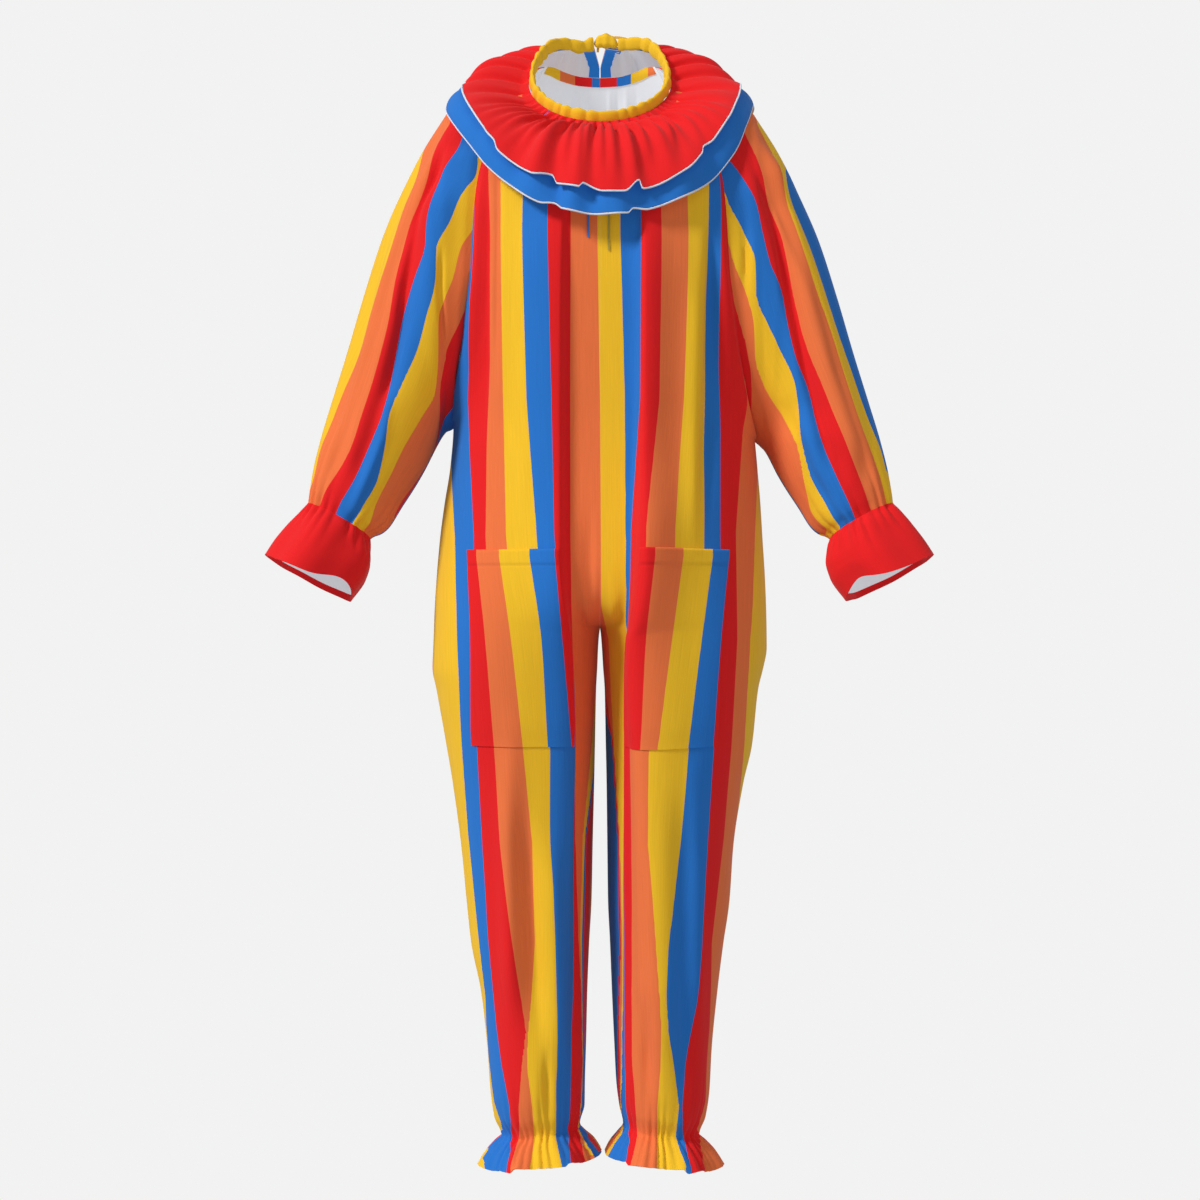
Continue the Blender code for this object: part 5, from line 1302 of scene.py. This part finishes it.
def print_finish():
    """The four stripes, one after another, by the stripe number in the cloth's coordinates."""
    made = finish("Stripes", "orange", PRINT_RIBS)
    tree = made.node_tree
    split = add(tree, "SeparateXYZ", {"Vector": cloth_coordinates(tree)})
    part = add(tree, "Math", {0: split.outputs["X"]}, operation="FRACT")
    ramp = add(tree, "ValToRGB", {"Fac": part.outputs["Value"]})
    ramp.color_ramp.interpolation = "CONSTANT"
    stops = ramp.color_ramp.elements
    for i, name in enumerate(PRINT_COLOURS):
        stop = stops[i] if i < 2 else stops.new(i * 0.25)
        stop.position = i * 0.25
        stop.color = (*COLOURS[name], 1)
    sockets = {"Value": streaks(tree, WORN_RIBS), "To Min": WORN[0], "To Max": WORN[1]}
    shade = add(tree, "MapRange", sockets)
    sockets = {0: ramp.outputs["Color"], "Scale": shade.outputs["Result"]}
    worn = add(tree, "VectorMath", sockets, operation="SCALE")
    feed(tree, tree.nodes["Principled BSDF"], {"Base Color": worn.outputs["Vector"]})
    return made


# ---- stage ----------
def seen_or_lighting(tree, kind, seen, lighting, surface):
    """One glow that the camera sees, and another that lights the piece: (colour, strength)."""
    either = add(tree, "MixShader", {"Fac": add(tree, "LightPath").outputs["Is Camera Ray"]})
    for socket, (colour, strength) in ((1, lighting), (2, seen)):
        glow = add(tree, kind, {"Color": (*colour, 1), "Strength": strength})
        feed(tree, either, {socket: glow.outputs[0]})
    feed(tree, surface, {"Surface": either.outputs["Shader"]})


def link(name, data):
    made = bpy.data.objects.new(name, data)
    bpy.context.scene.collection.objects.link(made)
    return made


def studio():
    """A pale ground that fills the view, and softer light of its own all round."""
    world = bpy.data.worlds.new("Studio")
    bpy.context.scene.world = world
    world.use_nodes = True
    tree = world.node_tree
    lighting = ((1.0, 1.0, 1.0), GLOW_AROUND)
    seen_or_lighting(tree, "Background", (GROUND, 1.0), lighting, tree.nodes["World Output"])


def floor():
    """A pale floor as bright as the ground behind it."""
    mesh = bpy.data.meshes.new("Floor")
    corners = [(x * FLOOR_HALF, y * FLOOR_HALF, FLOOR_Z) for x, y in ((-1, -1), (1, -1), (1, 1), (-1, 1))]
    mesh.from_pydata(corners, [], [(0, 1, 2, 3)])
    pale, tree = material("Pale floor")
    lighting = (FLOOR_LIGHT, 1.0)
    seen_or_lighting(tree, "Emission", (GROUND, 1.0), lighting, tree.nodes["Material Output"])
    mesh.materials.append(pale)
    link("Floor", mesh)


def sun(name, source, strength, wide):
    data = bpy.data.lights.new(name, "SUN")
    data.energy = strength
    data.angle = math.radians(wide)
    data.use_shadow = name != "Soft"
    link(name, data).rotation_euler = (-Vector(source)).to_track_quat("-Z", "Y").to_euler()


def camera():
    data = bpy.data.cameras.new("Camera")
    data.lens = 67.5
    data.sensor_width = 36
    made = link("Camera", data)
    made.location = (0, -2.925, -0.6825)
    made.rotation_euler = (math.pi / 2, 0, 0)
    bpy.context.scene.camera = made


def note_box():
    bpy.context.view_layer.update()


# ---- the garment ----------
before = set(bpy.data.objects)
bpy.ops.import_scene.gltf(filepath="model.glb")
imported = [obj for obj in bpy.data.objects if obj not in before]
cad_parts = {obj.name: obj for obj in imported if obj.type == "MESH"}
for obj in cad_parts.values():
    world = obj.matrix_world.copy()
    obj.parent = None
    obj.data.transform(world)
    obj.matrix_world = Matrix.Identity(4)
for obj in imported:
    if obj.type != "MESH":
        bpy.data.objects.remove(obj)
note_box()
PRINT = print_finish()
RED = finish("Red cloth", "red", FINE_RIBS)
BLUE = finish("Blue cloth", "blue", FINE_RIBS)
YELLOW = finish("Yellow cloth", "yellow", FINE_RIBS)
OLIVE = finish("Olive tape", "olive")
WHITE = finish("White edging", "white")
# the inside of every piece glows: painted light that brightens it where it lies in shade
LINING_PAINTED_GLOW = finish("White inside with painted glow", "lining", light=0.42)
# the blue binding on the collar's inner side glows: painted light that brightens it in shade
BINDING_PAINTED_GLOW = finish("Blue binding with painted glow", "blue", FINE_RIBS, light=0.40)

for side_name in SIDES:
    panels = {face_name: body_panel(side_name, face_name) for face_name in FACES}
    sleeve_cloth, wrist = sleeve(side_name, panels["front"], panels["back"])
    pieces_made = [body_cloth(side_name, face_name, panels[face_name]) for face_name in FACES]
    pieces_made += [sleeve_cloth, pocket(side_name, panels["front"])]
    pieces_made += [facing(side_name, panels["back"]), cuff(side_name, wrist)]
neck_band()
for layer_name in ("red", "blue"):
    piece, edge_grid, edge_inward = collar(layer_name)
    edging(layer_name, edge_grid, edge_inward[-1])
for side_name in SIDES:
    placket(side_name, edge_grid, edge_inward)
    tape(side_name)
for piece in tie():
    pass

studio()
floor()
for sun_name, settings in SUNS.items():
    sun(sun_name, *settings)
camera()
bpy.context.scene.view_settings.view_transform = "Standard"

note_box()
